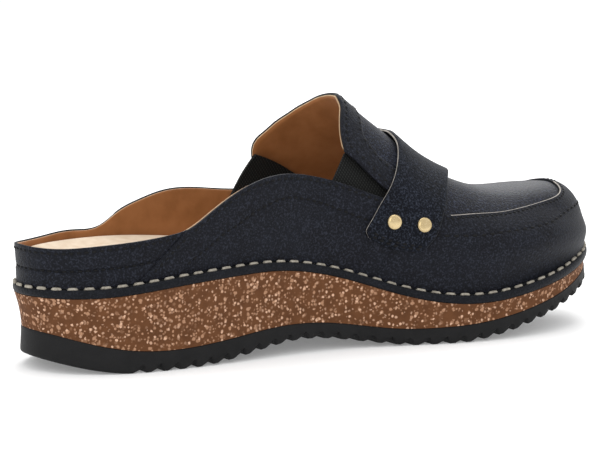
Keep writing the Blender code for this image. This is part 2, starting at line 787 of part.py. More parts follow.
navy = material("navy_leather", (0.012, 0.017, 0.035), 0.62)
navy_strap = material("navy_strap_leather", (0.014, 0.020, 0.040), 0.66)
navy_rand = material("navy_rand_leather", (0.010, 0.014, 0.028), 0.60)
cork = material("cork", (0.235, 0.125, 0.065), 0.85)
rubber = material("black_rubber", (0.012, 0.012, 0.013), 0.80)
suede = material("cream_suede", (0.70, 0.60, 0.48), 0.95)
elastic = material("black_elastic", (0.008, 0.008, 0.010), 0.90)
gold = material("pale_gold", (0.78, 0.66, 0.47), 0.30, 1.0)

stations = both_ways(np.linspace(0, math.pi, 53)[1:-1])
make_outsole(rubber)
make_midsole(stations, cork)
make_rand(stations, navy_rand)
make_footbed(stations, suede)
make_upper(navy)
make_strap(navy_strap)
make_gore("gore_inner", -1, elastic)
make_gore("gore_outer", 1, elastic)
for side, word in ((-1, "inner"), (1, "outer")):
    for number, (part, climb) in enumerate(RIVETS, 1):
        make_rivet(f"rivet_{word}_{number}", side, part, climb, gold)

pieces = [piece for piece in shoe.objects if piece.type == "MESH"]
corners = np.vstack([[tuple(v.co) for v in piece.data.vertices] for piece in pieces])
low, high = corners.min(axis=0), corners.max(axis=0)
root.location = (-(low[0] + high[0]) / 2, -(low[1] + high[1]) / 2, -low[2])
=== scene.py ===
"""Dressed left clog: fine surfaces, leather, cork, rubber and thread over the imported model.

X runs from heel to toe, Y to the outer side of this left shoe, Z up, and all lengths are metres.
A place on the last is a turn round the sole (0 heel tip, pi toe tip, negative on the inner side)
with a climb, 0 at the sole's edge and 1 at the midline on top.
"""

import logging
import math
from dataclasses import dataclass
from enum import Enum
from typing import Callable, Sequence

import bmesh
import bpy
import numpy as np
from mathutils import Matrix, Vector


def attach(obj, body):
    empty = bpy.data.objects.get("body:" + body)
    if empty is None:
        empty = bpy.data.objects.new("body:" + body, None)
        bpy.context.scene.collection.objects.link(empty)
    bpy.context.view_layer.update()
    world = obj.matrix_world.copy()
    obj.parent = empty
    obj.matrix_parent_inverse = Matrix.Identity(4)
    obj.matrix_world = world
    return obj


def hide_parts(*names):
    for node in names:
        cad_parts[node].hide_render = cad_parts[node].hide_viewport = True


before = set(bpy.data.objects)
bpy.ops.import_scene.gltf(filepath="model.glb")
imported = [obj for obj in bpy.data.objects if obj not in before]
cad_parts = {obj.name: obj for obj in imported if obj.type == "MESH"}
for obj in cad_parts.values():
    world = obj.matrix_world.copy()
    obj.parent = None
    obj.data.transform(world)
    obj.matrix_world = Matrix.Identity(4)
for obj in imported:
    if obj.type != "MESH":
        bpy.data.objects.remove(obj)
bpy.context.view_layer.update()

LOG = logging.getLogger("clog")
Array = np.ndarray
Curve = Callable[[Array], Array]
Table = tuple[tuple[float, ...], ...]
MM = 0.001
# Rows of a grid beside a line of stitches, in millimetres from it.
SEWN_ROWS = (-0.75, -0.45, -0.2, 0.0, 0.2, 0.45, 0.75)

# Half widths of the sole as shares of the ball width.
OUTLINE: Table = (
    # share, inner, outer
    (0.05, 0.235, 0.235),
    (0.12, 0.325, 0.330),
    (0.25, 0.345, 0.360),
    (0.38, 0.325, 0.375),
    (0.48, 0.325, 0.400),
    (0.58, 0.390, 0.455),
    (0.67, 0.462, 0.490),
    (0.76, 0.490, 0.472),
    (0.84, 0.470, 0.400),
    (0.92, 0.385, 0.275),
    (0.97, 0.270, 0.140),
)
TOE_SHIFT = -0.075

# Heights at the edge of the sole as shares of the seat height.
SOLE_HEIGHTS: Table = (
    # share, tread in/out, outsole top in/out, cork top in/out
    (0.03, 0.120, 0.120, 0.487, 0.487, 0.997, 0.987),
    (0.10, 0.010, 0.010, 0.330, 0.330, 1.023, 1.007),
    (0.20, -0.010, -0.010, 0.267, 0.267, 1.107, 1.047),
    (0.30, 0.062, 0.042, 0.340, 0.320, 1.163, 1.073),
    (0.36, 0.150, 0.103, 0.400, 0.360, 1.173, 1.067),
    (0.42, 0.195, 0.143, 0.413, 0.380, 1.120, 1.013),
    (0.50, 0.120, 0.093, 0.340, 0.327, 0.947, 0.873),
    (0.57, 0.027, 0.020, 0.247, 0.243, 0.740, 0.713),
    (0.64, -0.012, -0.012, 0.227, 0.227, 0.587, 0.580),
    (0.72, 0.038, 0.038, 0.270, 0.270, 0.540, 0.540),
    (0.80, 0.175, 0.175, 0.387, 0.387, 0.620, 0.620),
    (0.88, 0.358, 0.358, 0.553, 0.553, 0.753, 0.753),
    (0.95, 0.523, 0.523, 0.733, 0.733, 0.890, 0.890),
)
SOLE_HEEL = (0.187, 0.547, 1.000)
SOLE_TOE = (0.607, 0.815, 0.955)

# Midline of the last: height over the floor as a share of the throat height.
RIDGE: Table = (
    (0.00, 1.092), (0.10, 1.160), (0.20, 1.199), (0.30, 1.204), (0.38, 1.179), (0.45, 1.126),
    (0.50, 1.065), (0.54, 1.000), (0.58, 0.916), (0.62, 0.835), (0.66, 0.748), (0.70, 0.682),
    (0.74, 0.635), (0.78, 0.602), (0.83, 0.587), (0.89, 0.589), (1.00, 0.589),
)
# Cross sections: exponent of the rounded arch, 2 a half ellipse, more is boxier.
FULLNESS: Table = (
    # share, inner, outer
    (0.15, 2.7, 2.7),
    (0.30, 2.5, 2.5),
    (0.42, 2.25, 2.25),
    (0.52, 2.1, 2.1),
    (0.64, 2.1, 2.0),
    (0.75, 2.4, 2.1),
    (0.84, 2.7, 2.3),
    (0.92, 2.9, 2.6),
    (0.97, 2.8, 2.7),
)
FULLNESS_HEEL = 2.7
FULLNESS_TOE = 2.7
# Midline's sideways place (share of the ball width), swell of the wall and inset of its foot.
SIDE: Table = (
    # share, midline, swell, inset
    (0.00, 0.000, 0.0026, 0.0006),
    (0.08, 0.005, 0.0016, 0.0024),
    (0.25, 0.010, 0.0028, 0.0036),
    (0.50, 0.005, 0.0030, 0.0037),
    (0.62, -0.020, 0.0037, 0.0038),
    (0.74, -0.065, 0.0043, 0.0040),
    (0.87, -0.097, 0.0044, 0.0041),
    (0.94, -0.099, 0.0019, 0.0020),
    (1.00, -0.100, 0.0010, 0.0006),
)

# Climb of the upper's top line: collar, notch of the gore, then the apron seam to the toe.
TOP_LINE: Table = (
    # share, inner, outer
    (0.03, 0.122, 0.115),
    (0.08, 0.123, 0.108),
    (0.14, 0.120, 0.104),
    (0.19, 0.121, 0.107),
    (0.22, 0.130, 0.138),
    (0.26, 0.172, 0.165),
    (0.30, 0.216, 0.184),
    (0.35, 0.255, 0.191),
    (0.40, 0.278, 0.192),
    (0.45, 0.288, 0.205),
    (0.50, 0.298, 0.232),
    (0.54, 0.308, 0.262),
    (0.585, 0.335, 0.300),
    (0.63, 0.360, 0.340),
    (0.665, 0.395, 0.380),
    (0.70, 0.438, 0.422),
    (0.76, 0.489, 0.475),
    (0.82, 0.523, 0.510),
    (0.88, 0.537, 0.528),
    (0.92, 0.552, 0.548),
    (0.95, 0.600, 0.603),
    (0.975, 0.695, 0.700),
)
TOP_LINE_HEEL = 0.128
TOP_LINE_TOE = 0.800
GORE_POINT = 0.585
SEAM_MEETS = 0.665
BAND_END = 0.215
BAND_RAKE = 0.085
# Climb of the band's top edge, and the part of it where the band's middle seam runs.
BAND_TOP = 0.128
BAND_BELT = 0.43
TONGUE_LEAN = 0.030

# Tongue: share of its rear edge at a climb.
TONGUE_EDGE: Table = (
    # climb, inner, outer
    (0.300, 0.505, 0.468),
    (0.350, 0.505, 0.462),
    (0.400, 0.505, 0.467),
    (0.440, 0.505, 0.478),
    (0.500, 0.506, 0.492),
    (0.565, 0.511, 0.507),
    (0.633, 0.518, 0.519),
    (0.720, 0.527, 0.531),
    (0.812, 0.532, 0.538),
    (0.900, 0.538, 0.542),
    (1.000, 0.543, 0.543),
)
# Tongue from its rear edge (0) to the gore's point (1): climb of its lower edge and of its seam.
TONGUE_FOOT: Table = (
    # part, lower edge in/out, seam in/out
    (0.00, 0.432, 0.305, 0.620, 0.530),
    (0.25, 0.409, 0.309, 0.600, 0.530),
    (0.45, 0.385, 0.312, 0.572, 0.515),
    (0.62, 0.371, 0.312, 0.525, 0.495),
    (0.80, 0.360, 0.309, 0.505, 0.475),
    (1.00, 0.335, 0.300, 0.495, 0.460),
)
# Strap's rear and front edge at a climb, and its end's climb from rear (0) to front (1).
STRAP_EDGES: Table = (
    # climb, rear, front
    (0.10, 0.522, 0.606),
    (0.16, 0.5245, 0.613),
    (0.20, 0.532, 0.622),
    (0.26, 0.5435, 0.635),
    (0.35, 0.563, 0.648),
    (0.46, 0.584, 0.667),
    (0.60, 0.604, 0.687),
    (0.76, 0.618, 0.710),
    (0.89, 0.622, 0.728),
    (1.00, 0.626, 0.734),
)
STRAP_END: Table = (
    (0.00, 0.160), (0.05, 0.143), (0.15, 0.133), (0.40, 0.131),
    (0.65, 0.139), (0.85, 0.150), (0.95, 0.158), (1.00, 0.170),
)
# Gore panels from rear to front: low share and climb, high share and climb, inner then outer side.
GORE_LINES: Table = (
    (0.00, 0.474, 0.262, 0.512, 0.445, 0.418, 0.166, 0.463, 0.345),
    (0.33, 0.505, 0.268, 0.528, 0.444, 0.470, 0.190, 0.500, 0.348),
    (0.66, 0.550, 0.278, 0.563, 0.410, 0.530, 0.222, 0.550, 0.345),
    (1.00, 0.604, 0.312, 0.606, 0.392, 0.604, 0.272, 0.606, 0.342),
)
RIVETS: Table = (
    # part across the strap, climb
    (0.30, 0.236),
    (0.73, 0.275),
)
# Footbed's edge as shares of the seat height above the floor.
FOOTBED: Table = (
    # share, inner, outer
    (0.05, 1.527, 1.527),
    (0.12, 1.527, 1.523),
    (0.22, 1.540, 1.507),
    (0.30, 1.540, 1.443),
    (0.40, 1.470, 1.327),
    (0.50, 1.240, 1.143),
    (0.60, 0.973, 0.947),
    (0.70, 0.827, 0.817),
    (0.80, 0.840, 0.840),
    (0.90, 0.943, 0.943),
)
FOOTBED_HEEL = 1.533
FOOTBED_TOE = 1.027
# Second stitch line of the upper: it rises over the quarter and follows the ring to the toe.
BELT: Table = (
    (0.203, 0.012), (0.216, 0.028), (0.238, 0.052), (0.260, 0.076), (0.281, 0.102),
    (0.303, 0.122), (0.327, 0.148), (0.349, 0.168), (0.371, 0.186), (0.393, 0.200),
    (0.420, 0.204), (0.460, 0.202), (0.518, 0.198), (0.570, 0.215), (0.610, 0.240),
    (0.639, 0.261), (0.677, 0.297), (0.712, 0.323), (0.750, 0.351), (0.786, 0.369),
    (0.823, 0.373), (0.874, 0.379), (0.914, 0.393), (0.948, 0.405), (1.000, 0.400),
)


def column(rows: Table, index: int) -> list[float]:
    """One column of a table."""
    return [row[index] for row in rows]


def through(xs: Sequence[float], ys: Sequence[float]) -> Curve:
    """Natural cubic spline through points; it holds its end values outside them.

    Args:
        xs: rising places.
        ys: values there.

    Returns:
        The curve as a function of arrays.
    """
    xs = np.asarray(xs, float)
    ys = np.asarray(ys, float)
    n = len(xs)
    h = np.diff(xs)
    a = np.eye(n)
    b = np.zeros(n)
    for i in range(1, n - 1):
        a[i, i - 1], a[i, i], a[i, i + 1] = h[i - 1], 2 * (h[i - 1] + h[i]), h[i]
        b[i] = 6 * ((ys[i + 1] - ys[i]) / h[i] - (ys[i] - ys[i - 1]) / h[i - 1])
    m = np.linalg.solve(a, b)

    def curve(x: Array) -> Array:
        """Value of the spline at x.

        Args:
            x: places.

        Returns:
            Values there.
        """
        x = np.clip(np.asarray(x, float), xs[0], xs[-1])
        i = np.clip(np.searchsorted(xs, x, side="right") - 1, 0, n - 2)
        p, q = xs[i + 1] - x, x - xs[i]
        bend = (m[i] * p**3 + m[i + 1] * q**3) / (6 * h[i])
        start, end = ys[i] / h[i] - m[i] * h[i] / 6, ys[i + 1] / h[i] - m[i + 1] * h[i] / 6
        return bend + start * p + end * q

    return curve


def spline(rows: Table, index: int) -> Curve:
    """Spline of one column over the table's first column."""
    return through(column(rows, 0), column(rows, index))


def across_top(rows: Table, index: int) -> Curve:
    """Spline of the climb that is level at the midline: the rows, then their mirror."""
    xs, ys = column(rows, 0), column(rows, index)
    return through(xs + [2 - x for x in xs[-2::-1]], ys + ys[-2::-1])


def turn_of(share: Array) -> Array:
    """Turn round the sole, 0 to pi, for a share of its length."""
    return np.arccos(1 - 2 * np.clip(share, 0, 1))


def share_of(turn: Array) -> Array:
    """Share of the sole's length for a turn."""
    return (1 - np.cos(turn)) / 2


def around(rows: Table, inner: int, outer: int, heel: float, toe: float, flip: float = 1.0) -> Curve:
    """Closed cubic spline of the turn through both sides' columns of a table.

    Args:
        rows: the table, its first column the share.
        inner: column of the inner side, at negative turns.
        outer: column of the outer side.
        heel: value at the heel tip.
        toe: value at the toe tip.
        flip: factor on the inner side's values.

    Returns:
        The curve as a function of the turn.
    """
    turns = turn_of(np.asarray(column(rows, 0)))
    knots = np.concatenate([-turns[::-1], [0.0], turns, [math.pi]])
    left = flip * np.asarray(column(rows, inner))[::-1]
    values = np.concatenate([left, [heel], np.asarray(column(rows, outer)), [toe]])
    n = len(knots)
    gaps = np.append(np.diff(knots), knots[0] + 2 * math.pi - knots[-1])
    a = np.zeros((n, n))
    b = np.zeros(n)
    for i in range(n):
        before, after = gaps[i - 1], gaps[i]
        a[i, i - 1] += before
        a[i, i] += 2 * (before + after)
        a[i, (i + 1) % n] += after
        rise = (values[(i + 1) % n] - values[i]) / after
        b[i] = 6 * (rise - (values[i] - values[i - 1]) / before)
    m = np.linalg.solve(a, b)

    def curve(turn: Array) -> Array:
        """Value of the closed spline at a turn.

        Args:
            turn: turns round the sole.

        Returns:
            Values there.
        """
        x = (np.asarray(turn, float) - knots[0]) % (2 * math.pi) + knots[0]
        i = np.clip(np.searchsorted(knots, x, side="right") - 1, 0, n - 1)
        j = (i + 1) % n
        h = gaps[i]
        q = x - knots[i]
        p = h - q
        bend = (m[i] * p**3 + m[j] * q**3) / (6 * h)
        return bend + (values[i] / h - m[i] * h / 6) * p + (values[j] / h - m[j] * h / 6) * q

    return curve


def step(x: Array) -> Array:
    """Smooth rise from 0 to 1 as x goes from 0 to 1."""
    x = np.clip(x, 0, 1)
    return x * x * (3 - 2 * x)


def dent(distance: Array, half: float) -> Array:
    """1 at the line, falling to 0 at half a width from it, as a cosine."""
    return (1 + np.cos(math.pi * np.clip(np.abs(distance) / half, 0, 1))) / 2


def unit(vectors: Array) -> Array:
    """Vectors of length 1 in the same directions."""
    return vectors / np.maximum(np.linalg.norm(vectors, axis=-1, keepdims=True), 1e-12)


def lengths_along(path: Array) -> Array:
    """Length from the first point of a path to each of its points."""
    return np.concatenate([[0.0], np.cumsum(np.linalg.norm(np.diff(path, axis=0), axis=1))])


@dataclass
class Skin:
    """Points with faces of four corners, or three and a -1, and a finish number for each face."""

    points: Array
    faces: Array
    marks: Array


def grid(rows: int, columns: int) -> Array:
    """Faces of a grid of points that is stored row by row."""
    a = (np.arange(rows - 1)[:, None] * columns + np.arange(columns - 1)[None, :]).ravel()
    return np.stack([a, a + 1, a + columns + 1, a + columns], -1)


def face_means(values: Array) -> Array:
    """Mean of a grid's values at each face's corners, in the order of grid()."""
    return (values[:-1, :-1] + values[1:, :-1] + values[:-1, 1:] + values[1:, 1:]).ravel() / 4


def fold(place: Array, faces: Array) -> tuple[Array, Array]:
    """Renumbers corners by place. A face that loses a corner becomes three-cornered.

    Args:
        place: new number of each point.
        faces: faces of four corners.

    Returns:
        The faces, and which of the old faces they are.
    """
    faces = place[faces]
    same = faces == np.roll(faces, -1, axis=1)
    three = same.sum(1) == 1
    drop = same[three].argmax(1)
    pick = (drop[:, None] + np.array([1, 2, 3])) % 4
    short = np.take_along_axis(faces[three], pick, 1)
    short = np.hstack([short, -np.ones((len(short), 1), int)])
    whole = ~same.any(1)
    kept = np.concatenate([np.flatnonzero(whole), np.flatnonzero(three)])
    return np.vstack([faces[whole], short]), kept


def sides_of(faces: Array) -> Array:
    """Directed edges of faces of three or four corners.

    Args:
        faces: the faces.

    Returns:
        Pairs of corners.
    """
    after = np.roll(faces, -1, axis=1)
    three = faces[:, 3] < 0
    after[three, 2] = faces[three, 0]
    edges = np.stack([faces, after], -1).reshape(-1, 2)
    return edges[(edges >= 0).all(1)]


def shell(base: Array, outer: Array, inner: Array, faces: Array, marks: Array, rim: int) -> Skin:
    """Closed sheet: an outer and an inner skin over the same base, joined by a rim at open edges.

    Args:
        base: points that decide which corners are the same place.
        outer: outer skin's points.
        inner: inner skin's points.
        faces: grid faces.
        marks: finish number of each face's outer side.
        rim: finish number of the rim.

    Returns:
        The closed skin.
    """
    _, first, place = np.unique(np.round(base, 7), axis=0, return_index=True, return_inverse=True)
    faces, kept = fold(place.reshape(-1), faces)
    marks = marks[kept]
    count = len(first)
    edges = sides_of(faces)
    there = edges[:, 0] * count + edges[:, 1]
    back = edges[:, 1] * count + edges[:, 0]
    a, b = edges[~np.isin(there, back)].T
    rims = np.stack([b, a, a + count, b + count], -1)
    under = np.where(faces < 0, -1, faces + count)
    under = np.where(faces[:, 3:] < 0, under[:, [2, 1, 0, 3]], under[:, ::-1])
    return Skin(
        np.vstack([outer[first], inner[first]]),
        np.vstack([faces, under, rims]),
        np.concatenate([marks, np.zeros(len(under), int), np.full(len(rims), rim)]),
    )


def join(skins: Sequence[Skin]) -> Skin:
    """Several skins as one.

    Args:
        skins: the skins.

    Returns:
        One skin with all their points and faces.
    """
    start = np.cumsum([0] + [len(skin.points) for skin in skins[:-1]])
    faces = [np.where(s.faces < 0, -1, s.faces + at) for s, at in zip(skins, start)]
    return Skin(
        np.vstack([skin.points for skin in skins]),
        np.vstack(faces),
        np.concatenate([skin.marks for skin in skins]),
    )


def make_piece(
    name: str,
    skin: Skin,
    finishes: Sequence[bpy.types.Material],
    replaced: Sequence[str] = (),
    crease: float = 42.0,
) -> bpy.types.Object:
    """Puts a skin into the scene as a closed smooth mesh that rides on the shoe's one body.

    Args:
        name: the piece's name.
        skin: its points and faces.
        finishes: materials by finish number.
        replaced: CAD nodes that it stands for.
        crease: edges sharper than this many degrees stay sharp.

    Returns:
        The object.
    """
    mesh = bpy.data.meshes.new(name)
    corners = skin.faces[skin.faces >= 0]
    totals = (skin.faces >= 0).sum(1)
    mesh.vertices.add(len(skin.points))
    mesh.vertices.foreach_set("co", np.ascontiguousarray(skin.points, np.float32).ravel())
    mesh.loops.add(len(corners))
    mesh.loops.foreach_set("vertex_index", corners.astype(np.int32))
    mesh.polygons.add(len(totals))
    starts = np.concatenate([[0], np.cumsum(totals)[:-1]]).astype(np.int32)
    mesh.polygons.foreach_set("loop_start", starts)
    mesh.polygons.foreach_set("material_index", skin.marks.astype(np.int32))
    mesh.update(calc_edges=True)
    shape = bmesh.new()
    shape.from_mesh(mesh)
    bmesh.ops.remove_doubles(shape, verts=shape.verts, dist=1e-6)
    bmesh.ops.dissolve_degenerate(shape, dist=1e-6, edges=shape.edges)
    bmesh.ops.recalc_face_normals(shape, faces=shape.faces)
    if shape.calc_volume(signed=True) < 0:
        bmesh.ops.reverse_faces(shape, faces=shape.faces)
    shape.to_mesh(mesh)
    shape.free()
    for finish in finishes:
        mesh.materials.append(finish)
    mesh.shade_smooth()
    mesh.set_sharp_from_angle(angle=math.radians(crease))
    made = bpy.data.objects.new(name, mesh)
    bpy.context.scene.collection.objects.link(made)
    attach(made, "root")
    if replaced:
        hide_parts(*replaced)
    LOG.info("%s: %d faces", name, len(mesh.polygons))
    return made


@dataclass
class Last:
    """Form that the shoe is built on, with the lines of its sole. Fields are its main sizes."""

    sole_length: float = 0.262
    ball_width: float = 0.098
    seat_height: float = 0.030
    throat_height: float = 0.1026
    rand_thickness: float = 0.0035
    fit: float = 0.0003
    heel_overhang: float = 0.0020
    overhang_to: float = 0.22
    swell_span: float = 0.90
    toe_drop: float = 0.42
    spine_toe: tuple[float, float] = (0.024, 0.70)
    spine_heel: tuple[float, float] = (0.040, 0.32)
    shift: tuple[float, float, float] = (-0.1300, -0.0000442, 0.0)

    def __post_init__(self) -> None:
        """Makes the curves from the tables."""
        self.half_width = around(OUTLINE, 1, 2, 0.0, TOE_SHIFT, flip=-1.0)
        self.tread_line = self.sole_line(1, 0)
        self.outsole_line = self.sole_line(3, 1)
        self.cork_line = self.sole_line(5, 2)
        self.ridge = spline(RIDGE, 1)
        self.fullness = around(FULLNESS, 1, 2, FULLNESS_HEEL, FULLNESS_TOE)
        self.midline = spline(SIDE, 1)
        self.swell = spline(SIDE, 2)
        self.inset = spline(SIDE, 3)
        self.top_line = around(TOP_LINE, 1, 2, TOP_LINE_HEEL, TOP_LINE_TOE)
        self.belt_share = spline(BELT, 1)

    def sole_line(self, pair: int, end: int) -> Curve:
        """Height of one line round the sole's edge, over the floor."""
        curve = around(SOLE_HEIGHTS, pair, pair + 1, SOLE_HEEL[end], SOLE_TOE[end])
        return lambda turn: self.seat_height * curve(turn)

    def outline(self, turn: Array, offset: Array) -> tuple[Array, Array]:
        """Plan of the sole's edge, moved outwards by offset along its own normal.

        Args:
            turn: turn round the sole.
            offset: metres outwards.

        Returns:
            X and Y before the shift.
        """
        turn = np.asarray(turn, float)

        def bare(t: Array) -> tuple[Array, Array]:
            """Plan of the edge itself: length by share, width by the table."""
            return self.sole_length * share_of(t), self.ball_width * self.half_width(t)

        x, y = bare(turn)
        x1, y1 = bare(turn + 1e-4)
        x0, y0 = bare(turn - 1e-4)
        dx, dy = x1 - x0, y1 - y0
        size = np.hypot(dx, dy)
        return x - offset * dy / size, y + offset * dx / size

    def overhang(self, turn: Array) -> Array:
        """How far rand and band stand behind the outsole, fading from the heel tip forwards."""
        return self.heel_overhang * np.clip(1 - share_of(turn) / self.overhang_to, 0, 1) ** 2

    def height_at(self, line: Curve, x: Array, y: Array) -> Array:
        """Height of a sole layer at a plan point, straight across between its two edges.

        Args:
            line: the layer's height round the edge.
            x: place from the heel.
            y: place across.

        Returns:
            Height over the floor.
        """
        turn = turn_of(x / self.sole_length)
        inner = self.ball_width * self.half_width(-turn)
        outer = self.ball_width * self.half_width(turn)
        part = np.clip((y - inner) / np.maximum(outer - inner, 1e-6), 0, 1)
        return line(-turn) * (1 - part) + line(turn) * part

    def spine(self, share: Array) -> Array:
        """Place along the shoe where a column ends at the midline, drawn in at toe and heel.

        Args:
            share: the column's share of the length.

        Returns:
            Metres from the heel.
        """
        pull, start = self.spine_toe
        toe = np.clip((share - start) / (1 - start), 0, 1)
        push, end = self.spine_heel
        heel = np.clip((end - share) / end, 0, 1)
        return self.sole_length * share - pull * toe**2 + push * heel**2

    def point(self, turn: Array, climb: Array) -> Array:
        """Face of the last: a superellipse arch from the sole's edge to the midline, with a swell.

        Args:
            turn: turn round the sole.
            climb: 0 at the edge, 1 at the midline.

        Returns:
            Points, before the shift to the row's frame.
        """
        turn, climb = np.broadcast_arrays(np.asarray(turn, float), np.asarray(climb, float))
        share = share_of(turn)
        px, py = self.outline(turn, self.overhang(turn) - self.inset(share))
        foot = self.height_at(self.cork_line, px, py) + self.rand_thickness + self.fit
        cx = self.spine(share)
        cy = self.ball_width * self.midline(cx / self.sole_length)
        n = self.fullness(turn)
        c, s = np.cos(climb * math.pi / 2), np.sin(climb * math.pi / 2)
        rho = (np.abs(c) ** n + np.abs(s) ** n) ** (-1 / n)
        out, up = rho * c, rho * s
        dx, dy = px - cx, py - cy
        span = self.swell_span - self.toe_drop * step((share - 0.84) / 0.16)
        wave = np.sin(math.pi * np.clip(up / span, 0, 1)) ** 2
        reach = out + self.swell(share) * wave / np.maximum(np.hypot(dx, dy), 1e-9)
        crown = self.throat_height * self.ridge(np.clip((cx + dx * out) / self.sole_length, 0, 1))
        return np.stack([cx + dx * reach, cy + dy * reach, foot + (crown - foot) * up], -1)

    def normal(self, turn: Array, climb: Array) -> Array:
        """Outward normal of the last, or straight up where columns meet on the midline.

        Args:
            turn: turn round the sole.
            climb: climb on the last.

        Returns:
            Vectors of length 1.
        """
        small = 1e-3
        du = self.point(turn + small, climb) - self.point(turn - small, climb)
        dv = self.point(turn, climb + small) - self.point(turn, climb - small)
        normal = np.cross(du, dv)
        size = np.linalg.norm(normal, axis=-1, keepdims=True)
        normal = np.where(size < 1e-12, np.array([0.0, 0.0, 1.0]), normal / np.maximum(size, 1e-12))
        away = self.point(turn, climb) - np.array([0.5 * self.sole_length, 0.0, self.seat_height])
        flip = np.sum(normal * away, axis=-1, keepdims=True) < 0
        return np.where(flip, -normal, normal)

    def place(self, turn: Array, climb: Array, offset: Array) -> Array:
        """Points off the last by offset along its normal, in the row's frame.

        Args:
            turn: turn round the sole.
            climb: climb on the last.
            offset: metres outwards.

        Returns:
            Points.
        """
        turn, climb, offset = np.broadcast_arrays(
            np.asarray(turn, float), np.asarray(climb, float), np.asarray(offset, float)
        )
        return self.point(turn, climb) + self.normal(turn, climb) * offset[..., None] + self.shift

    def sheet(
        self,
        turns: Array,
        climbs: Array,
        outer: Array | float,
        inner: Array | float,
        rim: int = 0,
        marks: Array | None = None,
        kept: Array | None = None,
    ) -> Skin:
        """Closed sheet over a grid of places on the last.

        Args:
            turns: grid of turns.
            climbs: grid of climbs.
            outer: offset of the outer skin, a grid or one value.
            inner: offset of the inner skin.
            rim: finish number of the rim.
            marks: finish number of each face of the grid, 0 where none are given.
            kept: which faces of the grid stay.

        Returns:
            The sheet's skin.
        """
        flat = [np.broadcast_to(a, turns.shape).ravel() for a in (turns, climbs, outer, inner)]
        base = self.point(flat[0], flat[1])
        normal = self.normal(flat[0], flat[1])
        faces = grid(*turns.shape)
        given = np.zeros(len(faces), int) if marks is None else marks
        if kept is not None:
            faces, given = faces[kept], given[kept]
        skins = [base + normal * offset[:, None] + self.shift for offset in flat[2:]]
        return shell(base, skins[0], skins[1], faces, given, rim)

    def per_climb(self, turn: Array, climb: Array) -> Array:
        """Metres along the last for one unit of climb.

        Args:
            turn: turn round the sole.
            climb: climb on the last.

        Returns:
            Metres.
        """
        small = 5e-3
        run = self.point(turn, climb + small) - self.point(turn, climb - small)
        return np.linalg.norm(run, axis=-1) / (2 * small)

    def ring(self, turn: Array, offset: Array, height: Array) -> Array:
        """Points round the sole at a plan offset and a height, in the row's frame."""
        x, y = self.outline(turn, offset)
        return np.stack([x, y, height + 0 * x], -1) + self.shift

    def belt(self, turn: Array) -> Array:
        """Climb of the second stitch line. On the outer side it keeps its share of the top line.

        Args:
            turn: turn round the sole.

        Returns:
            Climbs.
        """
        turn = np.asarray(turn, float)
        away = np.arccos(np.clip(np.cos(turn), -1, 1))
        scale = np.where(np.sin(turn) > 0, self.top_line(away) / self.top_line(-away), 1.0)
        return self.belt_share(share_of(turn)) * scale


def add_node(
    tree: bpy.types.NodeTree, kind: str, links: dict | None = None, **settings: object
) -> bpy.types.Node:
    """Adds a node, sets its settings, and links or sets its inputs.

    Args:
        tree: the material's tree.
        kind: the node's type.
        links: input name or number to a socket or a value.
        settings: the node's own properties.

    Returns:
        The node.
    """
    node = tree.nodes.new(kind)
    for key, value in settings.items():
        setattr(node, key, value)
    for key, value in (links or {}).items():
        if isinstance(value, bpy.types.NodeSocket):
            tree.links.new(value, node.inputs[key])
        else:
            node.inputs[key].default_value = value
    return node


def linear(colour: str) -> tuple[float, float, float, float]:
    """Hex sRGB colour as linear RGBA.

    Args:
        colour: six hex digits after a hash.

    Returns:
        Linear red, green, blue and 1.
    """
    parts = [int(colour[i:i + 2], 16) / 255 for i in (1, 3, 5)]
    made = [c / 12.92 if c <= 0.04045 else ((c + 0.055) / 1.055) ** 2.4 for c in parts]
    return (made[0], made[1], made[2], 1.0)


def start_material(
    name: str,
) -> tuple[bpy.types.Material, bpy.types.NodeTree, bpy.types.Node, bpy.types.NodeSocket]:
    """A new node material.

    Args:
        name: the material's name.

    Returns:
        The material, its tree, its shader and its Object coordinates.
    """
    made = bpy.data.materials.new(name)
    made.use_nodes = True
    tree = made.node_tree
    shader = tree.nodes["Principled BSDF"]
    return made, tree, shader, add_node(tree, "ShaderNodeTexCoord").outputs["Object"]


